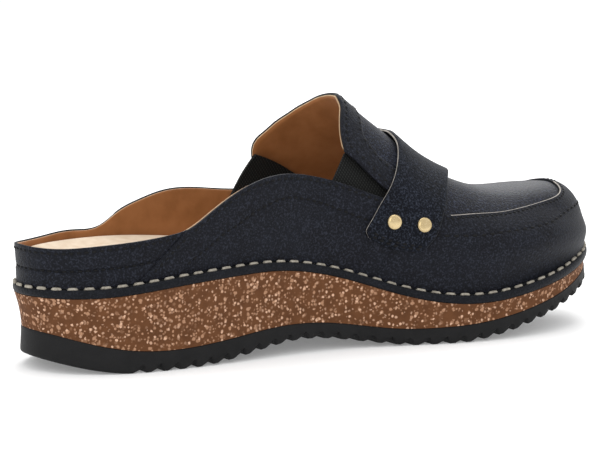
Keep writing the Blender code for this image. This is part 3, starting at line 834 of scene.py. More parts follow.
@dataclass(frozen=True)
class Leather:
    """Chrome-tanned cowhide, milled and finely buffed: small pebbled grain, pale speckle on its tips that is
    partly painted glint.
    """

    name: str
    base: str
    deep: str
    pale_tips: str
    roughness: float = 0.55
    grain: float = 1.0 * MM
    depth: float = 0.24 * MM
    pale_tip_amount: float = 0.5
    sheen: float = 0.04
    gloss: float = 0.10

    def make(self) -> bpy.types.Material:
        """Mottled dye, pebbles from Voronoi cells, pale speckle on the tips, partly painted glint.

        Returns:
            The material.
        """
        made, tree, shader, at = start_material(self.name)
        cloud = add_node(tree, "ShaderNodeTexNoise", {"Vector": at, "Scale": 1 / (14 * MM), "Detail": 3.0})
        dye = add_node(
            tree, "ShaderNodeMapRange", {0: cloud.outputs[0], 1: 0.35, 2: 0.65, 3: 0.0, 4: 1.0}
        )
        colour = add_node(
            tree, "ShaderNodeMix", {0: dye.outputs[0], 6: linear(self.deep), 7: linear(self.base)},
            data_type="RGBA",
        )
        cells = add_node(
            tree, "ShaderNodeTexVoronoi", {"Vector": at, "Scale": 1 / self.grain, "Randomness": 1.0},
            feature="SMOOTH_F1",
        )
        nap = add_node(
            tree, "ShaderNodeTexNoise",
            {"Vector": at, "Scale": 1.25 / self.grain, "Detail": 4.0, "Roughness": 0.72},
        )
        # Pale speckle on the nap's high points: partly painted glint.
        tips = add_node(
            tree, "ShaderNodeMapRange", {0: nap.outputs[0], 1: 0.50, 2: 0.62, 3: 0.0, 4: self.pale_tip_amount}
        )
        with_pale_tips = add_node(
            tree, "ShaderNodeMix", {0: tips.outputs[0], 6: colour.outputs[2], 7: linear(self.pale_tips)},
            data_type="RGBA",
        )
        height = add_node(tree, "ShaderNodeMath", {0: cells.outputs[0], 1: nap.outputs[0]}, operation="ADD")
        bump = add_node(
            tree, "ShaderNodeBump", {"Strength": 0.8, "Distance": self.depth, "Height": height.outputs[0]}
        )
        rough = add_node(
            tree, "ShaderNodeMapRange",
            {0: nap.outputs[0], 1: 0.3, 2: 0.7, 3: self.roughness - 0.10, 4: self.roughness + 0.10},
        )
        tree.links.new(with_pale_tips.outputs[2], shader.inputs["Base Color"])
        tree.links.new(bump.outputs[0], shader.inputs["Normal"])
        tree.links.new(rough.outputs[0], shader.inputs["Roughness"])
        shader.inputs["IOR"].default_value = 1.5
        shader.inputs["Specular IOR Level"].default_value = self.gloss
        shader.inputs["Sheen Weight"].default_value = self.sheen
        shader.inputs["Sheen Roughness"].default_value = 0.5
        return made


@dataclass(frozen=True)
class Plain:
    """Simple fine-grained finish: one dye with soft mottling and a fine surface."""

    name: str
    base: str
    other: str
    roughness: float
    blotch: float
    grain: float
    depth: float
    sheen: float = 0.0
    metallic: float = 0.0
    gloss: float = 0.2

    def make(self) -> bpy.types.Material:
        """Two tones by noise, and a bump of the grain's size.

        Returns:
            The material.
        """
        made, tree, shader, at = start_material(self.name)
        cloud = add_node(tree, "ShaderNodeTexNoise", {"Vector": at, "Scale": 1 / self.blotch, "Detail": 4.0})
        tone = add_node(
            tree, "ShaderNodeMapRange", {0: cloud.outputs[0], 1: 0.32, 2: 0.68, 3: 0.0, 4: 1.0}
        )
        colour = add_node(
            tree, "ShaderNodeMix", {0: tone.outputs[0], 6: linear(self.base), 7: linear(self.other)},
            data_type="RGBA",
        )
        fine = add_node(
            tree, "ShaderNodeTexNoise",
            {"Vector": at, "Scale": 1 / self.grain, "Detail": 3.0, "Roughness": 0.6},
        )
        bump = add_node(
            tree, "ShaderNodeBump", {"Strength": 0.7, "Distance": self.depth, "Height": fine.outputs[0]}
        )
        rough = add_node(
            tree, "ShaderNodeMapRange",
            {0: fine.outputs[0], 1: 0.3, 2: 0.7, 3: self.roughness - 0.06, 4: self.roughness + 0.06},
        )
        tree.links.new(colour.outputs[2], shader.inputs["Base Color"])
        tree.links.new(bump.outputs[0], shader.inputs["Normal"])
        tree.links.new(rough.outputs[0], shader.inputs["Roughness"])
        shader.inputs["Sheen Weight"].default_value = self.sheen
        shader.inputs["Metallic"].default_value = self.metallic
        shader.inputs["Specular IOR Level"].default_value = self.gloss
        return made


@dataclass(frozen=True)
class Cork:
    """Pressed cork and latex: brown matrix with pale pinkish granules, sanded."""

    name: str = "pressed_cork"
    matrix: str = "#643f25"
    shade: str = "#55341d"
    granule: str = "#a47c60"
    bright: str = "#d0a88c"
    dark: str = "#46291a"

    def make(self) -> bpy.types.Material:
        """Four layers of ragged Voronoi granules, a random part of each one shown.

        Returns:
            The material.
        """
        made, tree, shader, at = start_material(self.name)
        cloud = add_node(tree, "ShaderNodeTexNoise", {"Vector": at, "Scale": 1 / (5 * MM), "Detail": 4.0})
        tone = add_node(
            tree, "ShaderNodeMapRange", {0: cloud.outputs[0], 1: 0.3, 2: 0.7, 3: 0.0, 4: 1.0}
        )
        colour = add_node(
            tree, "ShaderNodeMix", {0: tone.outputs[0], 6: linear(self.shade), 7: linear(self.matrix)},
            data_type="RGBA",
        ).outputs[2]
        height = cloud.outputs[0]
        warp = add_node(tree, "ShaderNodeTexNoise", {"Vector": at, "Scale": 1 / (1.2 * MM), "Detail": 3.0})
        ragged = add_node(
            tree, "ShaderNodeVectorMath", {0: warp.outputs["Color"], 1: (MM, MM, MM), 2: at},
            operation="MULTIPLY_ADD",
        ).outputs[0]
        for size, limit, dye in (
            (1.5 * MM, 0.72, self.dark),
            (1.3 * MM, 0.50, self.granule),
            (2.1 * MM, 0.56, self.granule),
            (1.5 * MM, 0.64, self.bright),
        ):
            cells = add_node(tree, "ShaderNodeTexVoronoi", {"Vector": ragged, "Scale": 1 / size})
            draw = add_node(tree, "ShaderNodeSeparateColor", {0: cells.outputs["Color"]})
            chosen = add_node(
                tree, "ShaderNodeMapRange", {0: draw.outputs[0], 1: limit, 2: limit + 0.25, 3: 0.0, 4: 1.0}
            )
            inside = add_node(
                tree, "ShaderNodeMapRange", {0: cells.outputs["Distance"], 1: 0.45, 2: 0.30, 3: 0.0, 4: 1.0}
            )
            factor = add_node(
                tree, "ShaderNodeMath", {0: chosen.outputs[0], 1: inside.outputs[0]}, operation="MULTIPLY"
            )
            colour = add_node(
                tree, "ShaderNodeMix", {0: factor.outputs[0], 6: colour, 7: linear(dye)}, data_type="RGBA"
            ).outputs[2]
            height = add_node(
                tree, "ShaderNodeMath", {0: height, 1: factor.outputs[0]}, operation="ADD"
            ).outputs[0]
        bump = add_node(tree, "ShaderNodeBump", {"Strength": 0.6, "Distance": 0.25 * MM, "Height": height})
        tree.links.new(colour, shader.inputs["Base Color"])
        tree.links.new(bump.outputs[0], shader.inputs["Normal"])
        shader.inputs["Roughness"].default_value = 0.82
        shader.inputs["Specular IOR Level"].default_value = 0.2
        return made


@dataclass(frozen=True)
class Elastic:
    """Woven elastic: black covered rubber threads with fine ribs across them."""

    name: str = "woven_elastic"
    base: str = "#0f1010"
    light: str = "#2d2e2d"
    rib: float = 1.1 * MM

    def make(self) -> bpy.types.Material:
        """Slanted crossing waves that read as a fine weave.

        Returns:
            The material.
        """
        made, tree, shader, at = start_material(self.name)
        waves = []
        for turn in (0.65, -0.65):
            way = add_node(tree, "ShaderNodeMapping", {"Vector": at, "Rotation": (0.0, turn, 0.0)})
            waves.append(
                add_node(
                    tree, "ShaderNodeTexWave",
                    {"Vector": way.outputs[0], "Scale": 0.314 / self.rib, "Distortion": 0.4},
                    bands_direction="X",
                ).outputs["Fac"]
            )
        weave = add_node(tree, "ShaderNodeMath", {0: waves[0], 1: waves[1]}, operation="MULTIPLY")
        colour = add_node(
            tree, "ShaderNodeMix", {0: weave.outputs[0], 6: linear(self.base), 7: linear(self.light)},
            data_type="RGBA",
        )
        bump = add_node(
            tree, "ShaderNodeBump", {"Strength": 0.8, "Distance": 0.25 * MM, "Height": weave.outputs[0]}
        )
        tree.links.new(colour.outputs[2], shader.inputs["Base Color"])
        tree.links.new(bump.outputs[0], shader.inputs["Normal"])
        shader.inputs["Roughness"].default_value = 0.85
        shader.inputs["Specular IOR Level"].default_value = 0.15
        return made


class Finish(Enum):
    """The shoe's finishes."""

    NAVY = Leather("buffed_navy_leather", "#101219", "#0c0d13", "#393d49")
    # Apron: the navy leather with lower roughness; its lighter tip speckle is painted highlight where the
    # top light falls on the toe.
    APRON = Leather("polished_navy_leather_painted_highlight", "#0d1019", "#090a11", "#464c5f", roughness=0.46)
    STRAP = Leather("strap_navy_leather", "#0b0e16", "#07090f", "#424856", roughness=0.6, gloss=0.07)
    RAND = Leather("rand_navy_leather", "#101218", "#0b0d12", "#30333b", roughness=0.5, pale_tip_amount=0.3)
    CUT = Plain("raw_leather_edge", "#b3ada5", "#8d8780", 0.8, 2 * MM, 0.4 * MM, 0.1 * MM)
    LINING = Plain("tan_lining_leather", "#95623a", "#83532c", 0.62, 9 * MM, 0.5 * MM, 0.08 * MM, 0.05)
    INKED = Plain("inked_leather_edge", "#15171d", "#0d0e12", 0.6, 2 * MM, 0.4 * MM, 0.1 * MM)
    SPLIT = Plain("pale_lining_edge", "#c2a888", "#9d8467", 0.8, 2 * MM, 0.4 * MM, 0.1 * MM)
    SUEDE = Plain("cream_suede", "#d3c2ad", "#c6b29a", 0.95, 4 * MM, 0.45 * MM, 0.12 * MM, 0.1)
    RUBBER = Plain("moulded_rubber", "#161617", "#101011", 0.62, 6 * MM, 0.5 * MM, 0.10 * MM)
    BLACK_THREAD = Plain("black_waxed_thread", "#050506", "#0b0b0e", 0.6, 1 * MM, 0.3 * MM, 0.1 * MM)
    WELT_THREAD = Plain("natural_waxed_thread", "#aaa498", "#857f74", 0.7, 1.5 * MM, 0.35 * MM, 0.2 * MM)
    # Near-black patches in the welt's gaps: painted shade of the stitch holes.
    HOLE = Plain("painted_hole_shade", "#060607", "#0a0a0c", 0.9, 1 * MM, 0.4 * MM, 0.1 * MM)
    GOLD = Plain(
        "pale_gold_plating", "#cfba90", "#c4ae82", 0.24, 3 * MM, 0.6 * MM, 0.01 * MM, 0.0, 1.0, 0.5
    )
    CORK = Cork()
    ELASTIC = Elastic()

    def material(self) -> bpy.types.Material:
        """The finish's material, made once."""
        return bpy.data.materials.get(self.value.name) or self.value.make()


def stitch_bars(
    centre: Array,
    along: Array,
    normal: Array,
    size: tuple[float, float, float],
    dive: float,
    blunt: float = 3.5,
) -> Skin:
    """Stitches as short bars whose ends dive into the surface.

    A bar's section is an ellipse that shrinks to a point at both ends, and its middle line starts
    below the surface, rises to a level middle and goes down again.

    Args:
        centre: middle of each stitch.
        along: its direction.
        normal: the surface's normal there.
        size: length, width and height.
        dive: how far the ends go below the middle.
        blunt: how square the ends are, 2 an ellipse.

    Returns:
        The skin of all bars.
    """
    length, width, height = size
    rings, sides = 7, 8
    u = np.linspace(-1, 1, rings)[None, :, None, None]
    angle = (np.arange(sides + 1) * 2 * math.pi / sides)[None, None, :, None]
    round_off = np.sqrt(np.clip(1 - np.abs(u) ** blunt, 0, 1))
    across = unit(np.cross(normal, along))
    c, a, n, b = (v[:, None, None, :] for v in (centre, along, normal, across))
    lift = -dive * np.abs(u) ** blunt + round_off * height / 2 * np.sin(angle)
    points = c + a * (u * length / 2) + n * lift + b * (round_off * width / 2 * np.cos(angle))
    one = grid(rings, sides + 1)
    starts = np.arange(len(centre))[:, None, None] * rings * (sides + 1)
    faces = (one[None] + starts).reshape(-1, 4)
    return Skin(points.reshape(-1, 3), faces, np.zeros(len(faces), int))


@dataclass
class Seam:
    """Row of stitches along a line of turns and climbs on the last."""

    last: Last
    turns: Array
    climbs: Array
    offset: float = 0.0
    pitch: float = 3.0 * MM
    length: float = 2.1 * MM
    width: float = 0.95 * MM
    height: float = 0.65 * MM

    def bars(self) -> Skin:
        """The stitches, evenly spaced by length along the line.

        Returns:
            Their skin.
        """
        turns, climbs = np.broadcast_arrays(self.turns, self.climbs)
        path = self.last.place(turns, climbs, self.offset)
        run = lengths_along(path)
        count = max(int(run[-1] / self.pitch), 1)
        at = (np.arange(count) + 0.5) * run[-1] / count

        def there(lengths: Array) -> tuple[Array, Array]:
            """Turn and climb at lengths along the line."""
            return np.interp(lengths, run, turns), np.interp(lengths, run, climbs)

        t, v = there(at)
        ahead, behind = there(at + 0.5 * MM), there(at - 0.5 * MM)
        along = unit(self.last.place(*ahead, self.offset) - self.last.place(*behind, self.offset))
        centre = self.last.place(t, v, self.offset - 0.02 * MM)
        size = (self.length, self.width, self.height)
        return stitch_bars(centre, along, self.last.normal(t, v), size, 0.35 * MM)


def loop_rings(rings: Sequence[Array], closed: bool) -> Skin:
    """Rings of points stacked into a skin.

    Args:
        rings: rings whose last point repeats their first, so the skin closes round the shoe.
        closed: whether the last ring joins the first.

    Returns:
        The skin.
    """
    stack = np.stack(list(rings) + ([rings[0]] if closed else []))
    faces = grid(stack.shape[0], stack.shape[1])
    return Skin(stack.reshape(-1, 3), faces, np.zeros(len(faces), int))


def cap(rim: Array, across: int, lift: Callable[[Array, Array], Array] | None = None) -> Skin:
    """Sheet that closes a ring by straight rungs from the inner to the outer side.

    Args:
        rim: the ring from heel tip over the outer side to the toe tip and back, its last point
            the first again.
        across: number of steps on a rung.
        lift: height added at a share of the length and a part of the rung.

    Returns:
        The sheet's skin.
    """
    half = len(rim) // 2
    outer, inner = rim[:half + 1], rim[::-1][:half + 1]
    t = np.linspace(0, 1, across + 1)[None, :, None]
    points = inner[:, None, :] * (1 - t) + outer[:, None, :] * t
    if lift is not None:
        share = (outer[:, 0] - outer[0, 0]) / (outer[-1, 0] - outer[0, 0])
        points[..., 2] += lift(share[:, None], t[..., 0])
    faces = grid(points.shape[0], points.shape[1])
    return Skin(points.reshape(-1, 3), faces, np.zeros(len(faces), int))


def both_ways(turns: Array) -> Array:
    """Turns once round: heel tip, outer side, toe tip, inner side, and the heel tip again."""
    return np.concatenate([turns, 2 * math.pi - turns[::-1][1:]])


@dataclass
class Sole:
    """Rubber outsole with a ribbed tread, and the cork midsole on it."""

    last: Last
    pitch: float = 7.5 * MM
    groove: float = 5.2 * MM
    depth: float = 1.7 * MM
    tread_from: float = 0.115
    edge_round: float = 1.3 * MM

    def ribs(self, share: Array) -> Array:
        """Depth of the tread's cut along the shoe: a slanted tooth in each pitch, steep in front.

        Args:
            share: share of the length.

        Returns:
            Metres upwards.
        """
        along = (share - self.tread_from) * self.last.sole_length
        phase = np.mod(along, self.pitch) - 0.55 * self.pitch
        behind, ahead = self.groove / 2 + phase, self.groove / 2 - phase
        inside = np.clip(np.minimum(behind / (0.82 * self.groove), ahead / (0.18 * self.groove)), 0, 1)
        reach = (0.985 - self.tread_from) * self.last.sole_length
        count = int(reach / self.pitch)
        return self.depth * inside * (along > 0) * (along < count * self.pitch)

    def build_outsole(self) -> None:
        """Outsole: rings up its edge with a rounded foot and lip, rungs below and above."""
        last = self.last
        start = float(turn_of(self.tread_from))
        heel = np.linspace(0, start, 24)[:-1]
        steps = int(round(0.82 * last.sole_length / self.pitch)) * 12
        run = turn_of(np.linspace(self.tread_from, 0.99, steps))
        tip = np.linspace(run[-1], math.pi, 6)[1:]
        turns = both_ways(np.concatenate([heel, run, tip]))
        cut = self.ribs(share_of(turns))
        floor = np.maximum(last.tread_line(turns), 0.0)
        rings = []
        for a in np.linspace(0, 1, 6):
            angle = a * math.pi / 2
            inward = -0.5 * MM - self.edge_round * (1 - math.sin(angle))
            lift = self.edge_round * (1 - math.cos(angle))
            offset = inward - 0.7 * cut * (0.35 + 0.65 * a) * (1 - a * 0.2)
            rings.append(last.ring(turns, offset, floor + lift + cut * (1 - 0.1 * a)))
        x, y = last.outline(turns, -0.5 * MM)
        top = last.height_at(last.outsole_line, x, y)
        low = floor + self.edge_round + cut * 0.9
        for part, offset in ((0.12, -0.5), (0.5, -0.75), (0.8, -0.9), (0.93, -0.85), (0.98, -1.0)):
            rings.append(last.ring(turns, offset * MM, low + (top - low) * part))
        rings.append(last.ring(turns, -1.3 * MM, top))
        body = loop_rings(rings, False)
        skin = join([cap(rings[0], 10), body, cap(rings[-1], 4)])
        make_piece("outsole_rubber", skin, [Finish.RUBBER.material()], ["outsole"], 38)

    def build_midsole(self) -> None:
        """Midsole: the cork between outsole and rand, its side very slightly hollow."""
        last = self.last
        turns = both_ways(np.linspace(0, math.pi, 181))
        rings = []
        for part in np.linspace(0, 1, 9):
            offset = (-1.1 + 0.9 * part - 0.5 * math.sin(math.pi * part)) * MM + part * last.overhang(turns)
            x, y = last.outline(turns, offset)
            low = last.height_at(last.outsole_line, x, y) + 0.15 * MM
            top = last.height_at(last.cork_line, x, y)
            rings.append(last.ring(turns, offset, low + (top - low) * part))
        skin = join([cap(rings[0], 4), loop_rings(rings, False), cap(rings[-1], 4)])
        make_piece("midsole_cork", skin, [Finish.CORK.material()], ["midsole"])

    def build(self) -> None:
        """Both layers."""
        self.build_outsole()
        self.build_midsole()


@dataclass
class Rand:
    """Leather ring between cork and upper, with the sewn welt on its top."""

    last: Last
    width: float = 9.5 * MM
    pitch: float = 6.45 * MM
    gap: float = 0.1 * MM
    stitch: tuple[float, float, float] = (4.7 * MM, 1.5 * MM, 1.3 * MM)
    # Size of the near-black patch that paints the shade in each stitch hole.
    hole_shade: tuple[float, float, float] = (1.7 * MM, 1.3 * MM, 0.5 * MM)

    def sewing(self, turn: Array) -> Array:
        """Plan offset of the stitch line: near the edge at the heel, further in elsewhere."""
        return -np.minimum(1.9 * MM, self.last.inset(share_of(turn)) - 0.3 * MM)

    def build_rand(self) -> None:
        """Ring with a rolled edge and a shallow channel under the stitches."""
        last = self.last
        turns = both_ways(np.linspace(0, math.pi, 241))
        sew = self.sewing(turns)
        edge = [(-0.6, 0.0), (-0.15, 0.06), (0.15, 0.22), (0.25, 0.45)]
        edge += [(0.2, 0.68), (0.0, 0.86), (-0.35, 0.97)]
        section = [(-self.width, 0.0)] + [(out * MM, up) for out, up in edge]
        channel = [(0.75, 1.0), (0.45, 0.90), (0.0, 0.86), (-0.45, 0.90), (-0.75, 1.0)]
        section += [(np.minimum(sew + d * MM, -0.45 * MM - (0.75 - d) * 0.3 * MM), p) for d, p in channel]
        section += [(-self.width, 1.0)]
        rings = []
        for offset, part in section:
            x, y = last.outline(turns, offset + last.overhang(turns))
            rise = self.gap + (last.rand_thickness - self.gap) * part
            z = last.height_at(last.cork_line, x, y) + rise
            rings.append(last.ring(turns, offset + last.overhang(turns), z))
        skin = loop_rings(rings, True)
        make_piece("rand_leather", skin, [Finish.RAND.material()], ["rand"])

    def build_welt(self) -> None:
        """Thick stitches round the rand, with a near-black patch in each gap as painted shade of the stitch
        hole.
        """
        last = self.last
        turns = np.linspace(0, 2 * math.pi, 1441)
        offset = self.sewing(turns) + last.overhang(turns)
        x, y = last.outline(turns, offset)
        path = last.ring(turns, offset, last.height_at(last.cork_line, x, y) + last.rand_thickness)
        run = lengths_along(path)
        count = int(round(run[-1] / self.pitch))

        def along(lengths: Array) -> Array:
            """Points at lengths round the welt."""
            return np.stack([np.interp(lengths % run[-1], run, path[:, i]) for i in range(3)], -1)

        for name, shift, size, lift, finish in (
            ("welt_stitches", 0.0, self.stitch, 0.30 * MM, Finish.WELT_THREAD),
            # The second row is the painted shade of the stitch holes, set between the stitches.
            ("welt_hole_shades", 0.5, self.hole_shade, -0.05 * MM, Finish.HOLE),
        ):
            at = (np.arange(count) + shift) * run[-1] / count
            way = unit(along(at + 1 * MM) - along(at - 1 * MM))
            up = np.array([0.0, 0.0, 1.0])
            normal = unit(up - way * way[:, 2:3])
            skin = stitch_bars(along(at) + normal * lift, way, normal, size, 0.25 * MM, 6.0)
            make_piece(name, skin, [finish.material()])

    def build(self) -> None:
        """Rand, stitches and the painted shade of the stitch holes."""
        self.build_rand()
        self.build_welt()


@dataclass
class Footbed:
    """Suede-covered bed inside the upper, dished at the heel."""

    last: Last
    dish: float = 3.5 * MM
    wall: float = 2.6 * MM
    rand_width: float = 9.5 * MM

    def build(self) -> None:
        """Plug in the rand's ring, wider slab above it with a rounded lip, hollow across its top."""
        last = self.last
        turns = both_ways(np.linspace(0, math.pi, 121))
        share = share_of(turns)
        plug = last.overhang(turns) - self.rand_width - 0.6 * MM
        wide = last.overhang(turns) - last.inset(share) - self.wall - 0.4 * MM
        edge = last.seat_height * around(FOOTBED, 1, 2, FOOTBED_HEEL, FOOTBED_TOE)(turns)
        rings = []
        low, high = 0.2 * MM, last.rand_thickness + 0.2 * MM
        for offset, lift in ((plug, low), (plug, high), (wide, high)):
            x, y = last.outline(turns, offset)
            rings.append(last.ring(turns, offset, last.height_at(last.cork_line, x, y) + lift))
        for a in np.linspace(0, 1, 6):
            angle = a * math.pi / 2
            inward = 1.8 * MM * (1 - math.cos(angle))
            rings.append(last.ring(turns, wide - inward, edge - 1.5 * MM * (1 - math.sin(angle))))

        def hollow(place: Array, part: Array) -> Array:
            """Parabola across the bed, deepest at the heel."""
            return -(1 - (2 * part - 1) ** 2) * self.dish * np.clip(1.15 - 0.9 * place, 0.3, 1.0)

        skin = join([cap(rings[0], 4), loop_rings(rings, False), cap(rings[-1], 24, hollow)])
        make_piece("footbed_suede", skin, [Finish.SUEDE.material()], ["footbed"])


@dataclass
class Upper:
    """Leather upper: ring, quarters and heel band, apron with the tongue, and the tan lining."""

    last: Last
    wall: float = 2.6 * MM
    leather: float = 1.4 * MM
    apron_step: float = 1.2 * MM
    band_step: float = 0.6 * MM
    band_foot_step: float = 0.4 * MM
    edge_in: float = 1.9 * MM
    groove: float = 0.25 * MM
    groove_half: float = 0.75 * MM
    band_groove: float = 0.40 * MM
    end_groove: float = 0.45 * MM
    vamp_seam: tuple[float, float] = (0.543, 0.565)
    vamp_seam_top: float = 0.2
    vamp_groove: float = 0.5 * MM
    vamp_lap: float = 0.35 * MM
    tongue_relief: float = 0.35

    def lean(self, share: Array, part: Array) -> Array:
        """Share of a column at a part of its climb: columns rake back near the band's seam."""
        rake = BAND_RAKE * np.sin(math.pi * np.clip(share / (2 * BAND_END), 0, 1)) ** 2
        return share - rake * (1 - part)

    def body_columns(self, density: float) -> Array:
        """Shares of the columns at the top line, heel to toe, packed near the seams.

        Args:
            density: factor on the number of columns.

        Returns:
            Rising shares.
        """
        back = share_of(np.linspace(0, float(turn_of(BAND_END - 0.004)), int(50 * density)))
        seam = BAND_END + np.array([-0.9, -0.5, -0.25, -0.1, 0.1, 0.3, 0.7]) * MM / self.last.sole_length
        middle = share_of(
            np.linspace(float(turn_of(BAND_END + 0.005)), float(turn_of(0.535)), int(80 * density))
        )
        vamp = np.linspace(0.5365, 0.574, int(34 * density))
        front = share_of(np.linspace(float(turn_of(0.576)), math.pi, int(150 * density)))
        return np.concatenate([back, seam, middle, vamp, front])

    def body_grid(self, shares: Array) -> tuple[Array, Array, Array, Array]:
        """Columns once round from heel tip to heel tip.

        Args:
            shares: shares of one side, heel to toe.

        Returns:
            Share, side, top climb, and whether it is on the heel band.
        """
        side = np.concatenate([np.ones(len(shares)), -np.ones(len(shares) - 1)])
        share = np.concatenate([shares, shares[::-1][1:]])
        top = self.last.top_line(side * turn_of(share))
        return share, side, top, share < BAND_END

    def build_ring(self) -> None:
        """Ring, quarters and band as one sheet, with grooves that hold the stitches."""
        last = self.last
        share, side, top, band = self.body_grid(self.body_columns(1.0))
        belt = np.full(len(share), BAND_BELT)
        for _ in range(8):
            turn = side * turn_of(self.lean(share, belt))
            belt = np.where(band, BAND_BELT, last.belt(turn) / top)
        unit_mm = MM / last.per_climb(side * turn_of(share), top * 0.9) / top
        belt = np.clip(belt, 1.6 * unit_mm, 1 - 5.0 * unit_mm)
        sew = 1 - self.edge_in / MM * unit_mm
        rows = [f * (belt - 1.1 * unit_mm) for f in np.linspace(0, 1, 12)]
        rows += [belt + d * unit_mm for d in SEWN_ROWS]
        gap = sew - belt - 2.2 * unit_mm
        rows += [belt + 1.1 * unit_mm + f * gap for f in np.linspace(0, 1, 20)]
        rows += [sew + d * unit_mm for d in SEWN_ROWS]
        rows += [1 - d * unit_mm for d in (0.8, 0.45, 0.2, 0.06)] + [np.ones(len(share))]
        part = np.stack(rows)
        real = self.lean(share[None], part)
        turns = side * turn_of(real)
        climbs = part * top
        to_belt = (part - belt) / unit_mm * MM
        to_sew = (part - sew) / unit_mm * MM
        shown = np.where(band, 1.0, step((real - 0.20) / 0.02))
        offset = -self.groove * dent(to_belt, self.groove_half) * shown
        offset = offset - 0.6 * self.groove * dent(to_sew, self.groove_half)
        above = step(0.5 + to_belt / (0.5 * MM))
        foot = self.band_foot_step + (self.band_step - self.band_foot_step) * above
        in_band = 1 - step((share - BAND_END) * last.sole_length / (0.4 * MM) + 0.5)
        offset = offset - foot * in_band
        offset = offset - self.band_groove * dent(to_belt, 1.1 * MM) * in_band
        to_end = (share - BAND_END) * last.sole_length
        offset = offset - self.end_groove * dent(to_end - 0.1 * MM, 0.6 * MM)
        low, high = self.vamp_seam
        seam_at = low + (high - low) * np.clip(climbs / BAND_TOP, 0, 1)
        to_seam = (real - seam_at) * last.sole_length
        ahead = step(to_seam / (0.5 * MM)) * (1 - step((real - seam_at) / 0.03))
        seam = self.vamp_lap * ahead - self.vamp_groove * dent(to_seam, 0.8 * MM)
        offset = offset + seam * (climbs < self.vamp_seam_top)
        inner = np.full(part.shape, -self.leather)
        chamfer = ((0.2, 0.10, 1.30), (0.06, 0.22, 1.12), (0.0, 0.38, 0.92))
        for row, (_, down, depth) in zip((-3, -2, -1), chamfer):
            offset[row] = offset[row] - down * MM
            inner[row] = np.minimum(offset[row] - 0.3 * MM, -depth * MM)
        marks = np.zeros((part.shape[0] - 1, part.shape[1] - 1), int)
        # Raw-edge colour on the lip of the apron seam, inner side only: the raw edge is real, but keeping it
        # to the side that catches the light makes it partly painted highlight; the outer side's lip stays
        # dark.
        marks[-3:, (share[1:] > SEAM_MEETS) & (share[1:] < 0.985) & (side[1:] < 0)] = 2
        finishes = [Finish.NAVY, Finish.INKED, Finish.CUT]
        self.cover("upper_ring", turns, climbs, offset, inner, finishes, marks.ravel(), ["upper"])

    def cover(
        self,
        name: str,
        turns: Array,
        climbs: Array,
        outer: Array,
        inner: Array,
        finishes: Sequence[Finish],
        marks: Array | None = None,
        replaced: Sequence[str] = (),
    ) -> None:
        """Makes a piece of the upper from a sheet over the last.

        Args:
            name: the piece's name.
            turns: grid of turns.
            climbs: grid of climbs.
            outer: offsets of the outer skin.
            inner: offsets of the inner skin.
            finishes: finishes by number; 1 is the rim's.
            marks: finish number of each face.
            replaced: CAD nodes that it stands for.
        """
        skin = self.last.sheet(turns, climbs, outer, inner, 1, marks)
        make_piece(name, skin, [f.material() for f in finishes], replaced)

    def top_columns(self, density: float) -> tuple[Array, Array]:
        """Columns of the top patch: places on the tongue (0 to 1), then shares on the vamp.

        Args:
            density: factor on the number of columns.

        Returns:
            The columns, and which of them are on the tongue.
        """
        blocks = ((0.0, 0.02, 4), (0.035, 0.40, 20), (0.41, 0.445, 5), (0.46, 0.98, 22))
        cuts = np.concatenate([np.linspace(a, b, max(int(n * density), 3)) for a, b, n in blocks])
        vamp = share_of(np.linspace(float(turn_of(GORE_POINT)), math.pi, int(150 * density)))
        at = np.concatenate([cuts, vamp])
        return at, np.concatenate([np.ones(len(cuts), bool), np.zeros(len(vamp), bool)])

    def top_side(self, side: int, at: Array, tongue: Array, rows: Array) -> tuple[Array, Array, Array]:
        """One side of the top patch.

        Args:
            side: -1 inner, 1 outer.
            at: places on the tongue or shares on the vamp.
            tongue: which of them are on the tongue.
            rows: 0 to 1 from the low edge to the seam, 1 to 2 over the step, 2 to 3 to the midline.

        Returns:
            Turns and climbs of the grid, and how far a place is inside the apron, 0 to 1.
        """
        last = self.last
        pick = 1 if side < 0 else 2
        low_edge = spline(TONGUE_FOOT, pick)
        seam = spline(TONGUE_FOOT, pick + 2)
        rear = across_top(TONGUE_EDGE, pick)
        gore = float(last.top_line(side * turn_of(GORE_POINT)))
        low_vamp = last.top_line(side * turn_of(at))
        fade = np.clip((at - GORE_POINT) / (SEAM_MEETS - GORE_POINT), 0, 1)
        low = np.where(tongue, low_edge(at), low_vamp)
        mid = np.where(tongue, seam(at), low_vamp + (float(seam(1.0)) - gore) * (1 - fade) ** 1.2)
        base = np.where(tongue, gore, low_vamp)
        r = rows[:, None]
        inside = mid + 0.012
        climbs = np.where(
            r < 1, low + (mid - low) * r,
            np.where(r < 2, mid + 0.012 * (r - 1), inside + (1 - inside) * (r - 2)),
        )
        lean = TONGUE_LEAN * np.clip((climbs - base) / (1 - base), 0, 1)
        share_tongue = rear(climbs) * (1 - at) + (GORE_POINT + lean) * at
        share_vamp = at + lean * np.clip(1 - (at - GORE_POINT) / 0.25, 0, 1)
        share = np.where(tongue, share_tongue, share_vamp)
        inward = np.where(tongue, step((at - 0.41) / 0.035), 1.0)
        joined = np.where(tongue, 0.0, step((at - 0.640) / 0.012))
        deep = inward * np.maximum(step(np.clip(r - 1, 0, 1)), joined)
        return side * turn_of(share), climbs, deep

    def top_patch(self, density: float, rows: Array) -> tuple[Array, Array, Array, Array]:
        """Both sides of the top patch as one grid, from the inner low edge over to the outer.

        Args:
            density: factor on the number of columns.
            rows: rows of one side, as top_side takes them.

        Returns:
            Turns, climbs, depth into the apron, and distance row number from the low edge.
        """
        at, tongue = self.top_columns(density)
        inner = self.top_side(-1, at, tongue, rows)
        outer = self.top_side(1, at, tongue, rows)
        joined = [np.vstack([a, b[::-1][1:]]) for a, b in zip(inner, outer)]
        height = np.concatenate([rows, rows[::-1][1:]])
        return joined[0], joined[1], joined[2], height

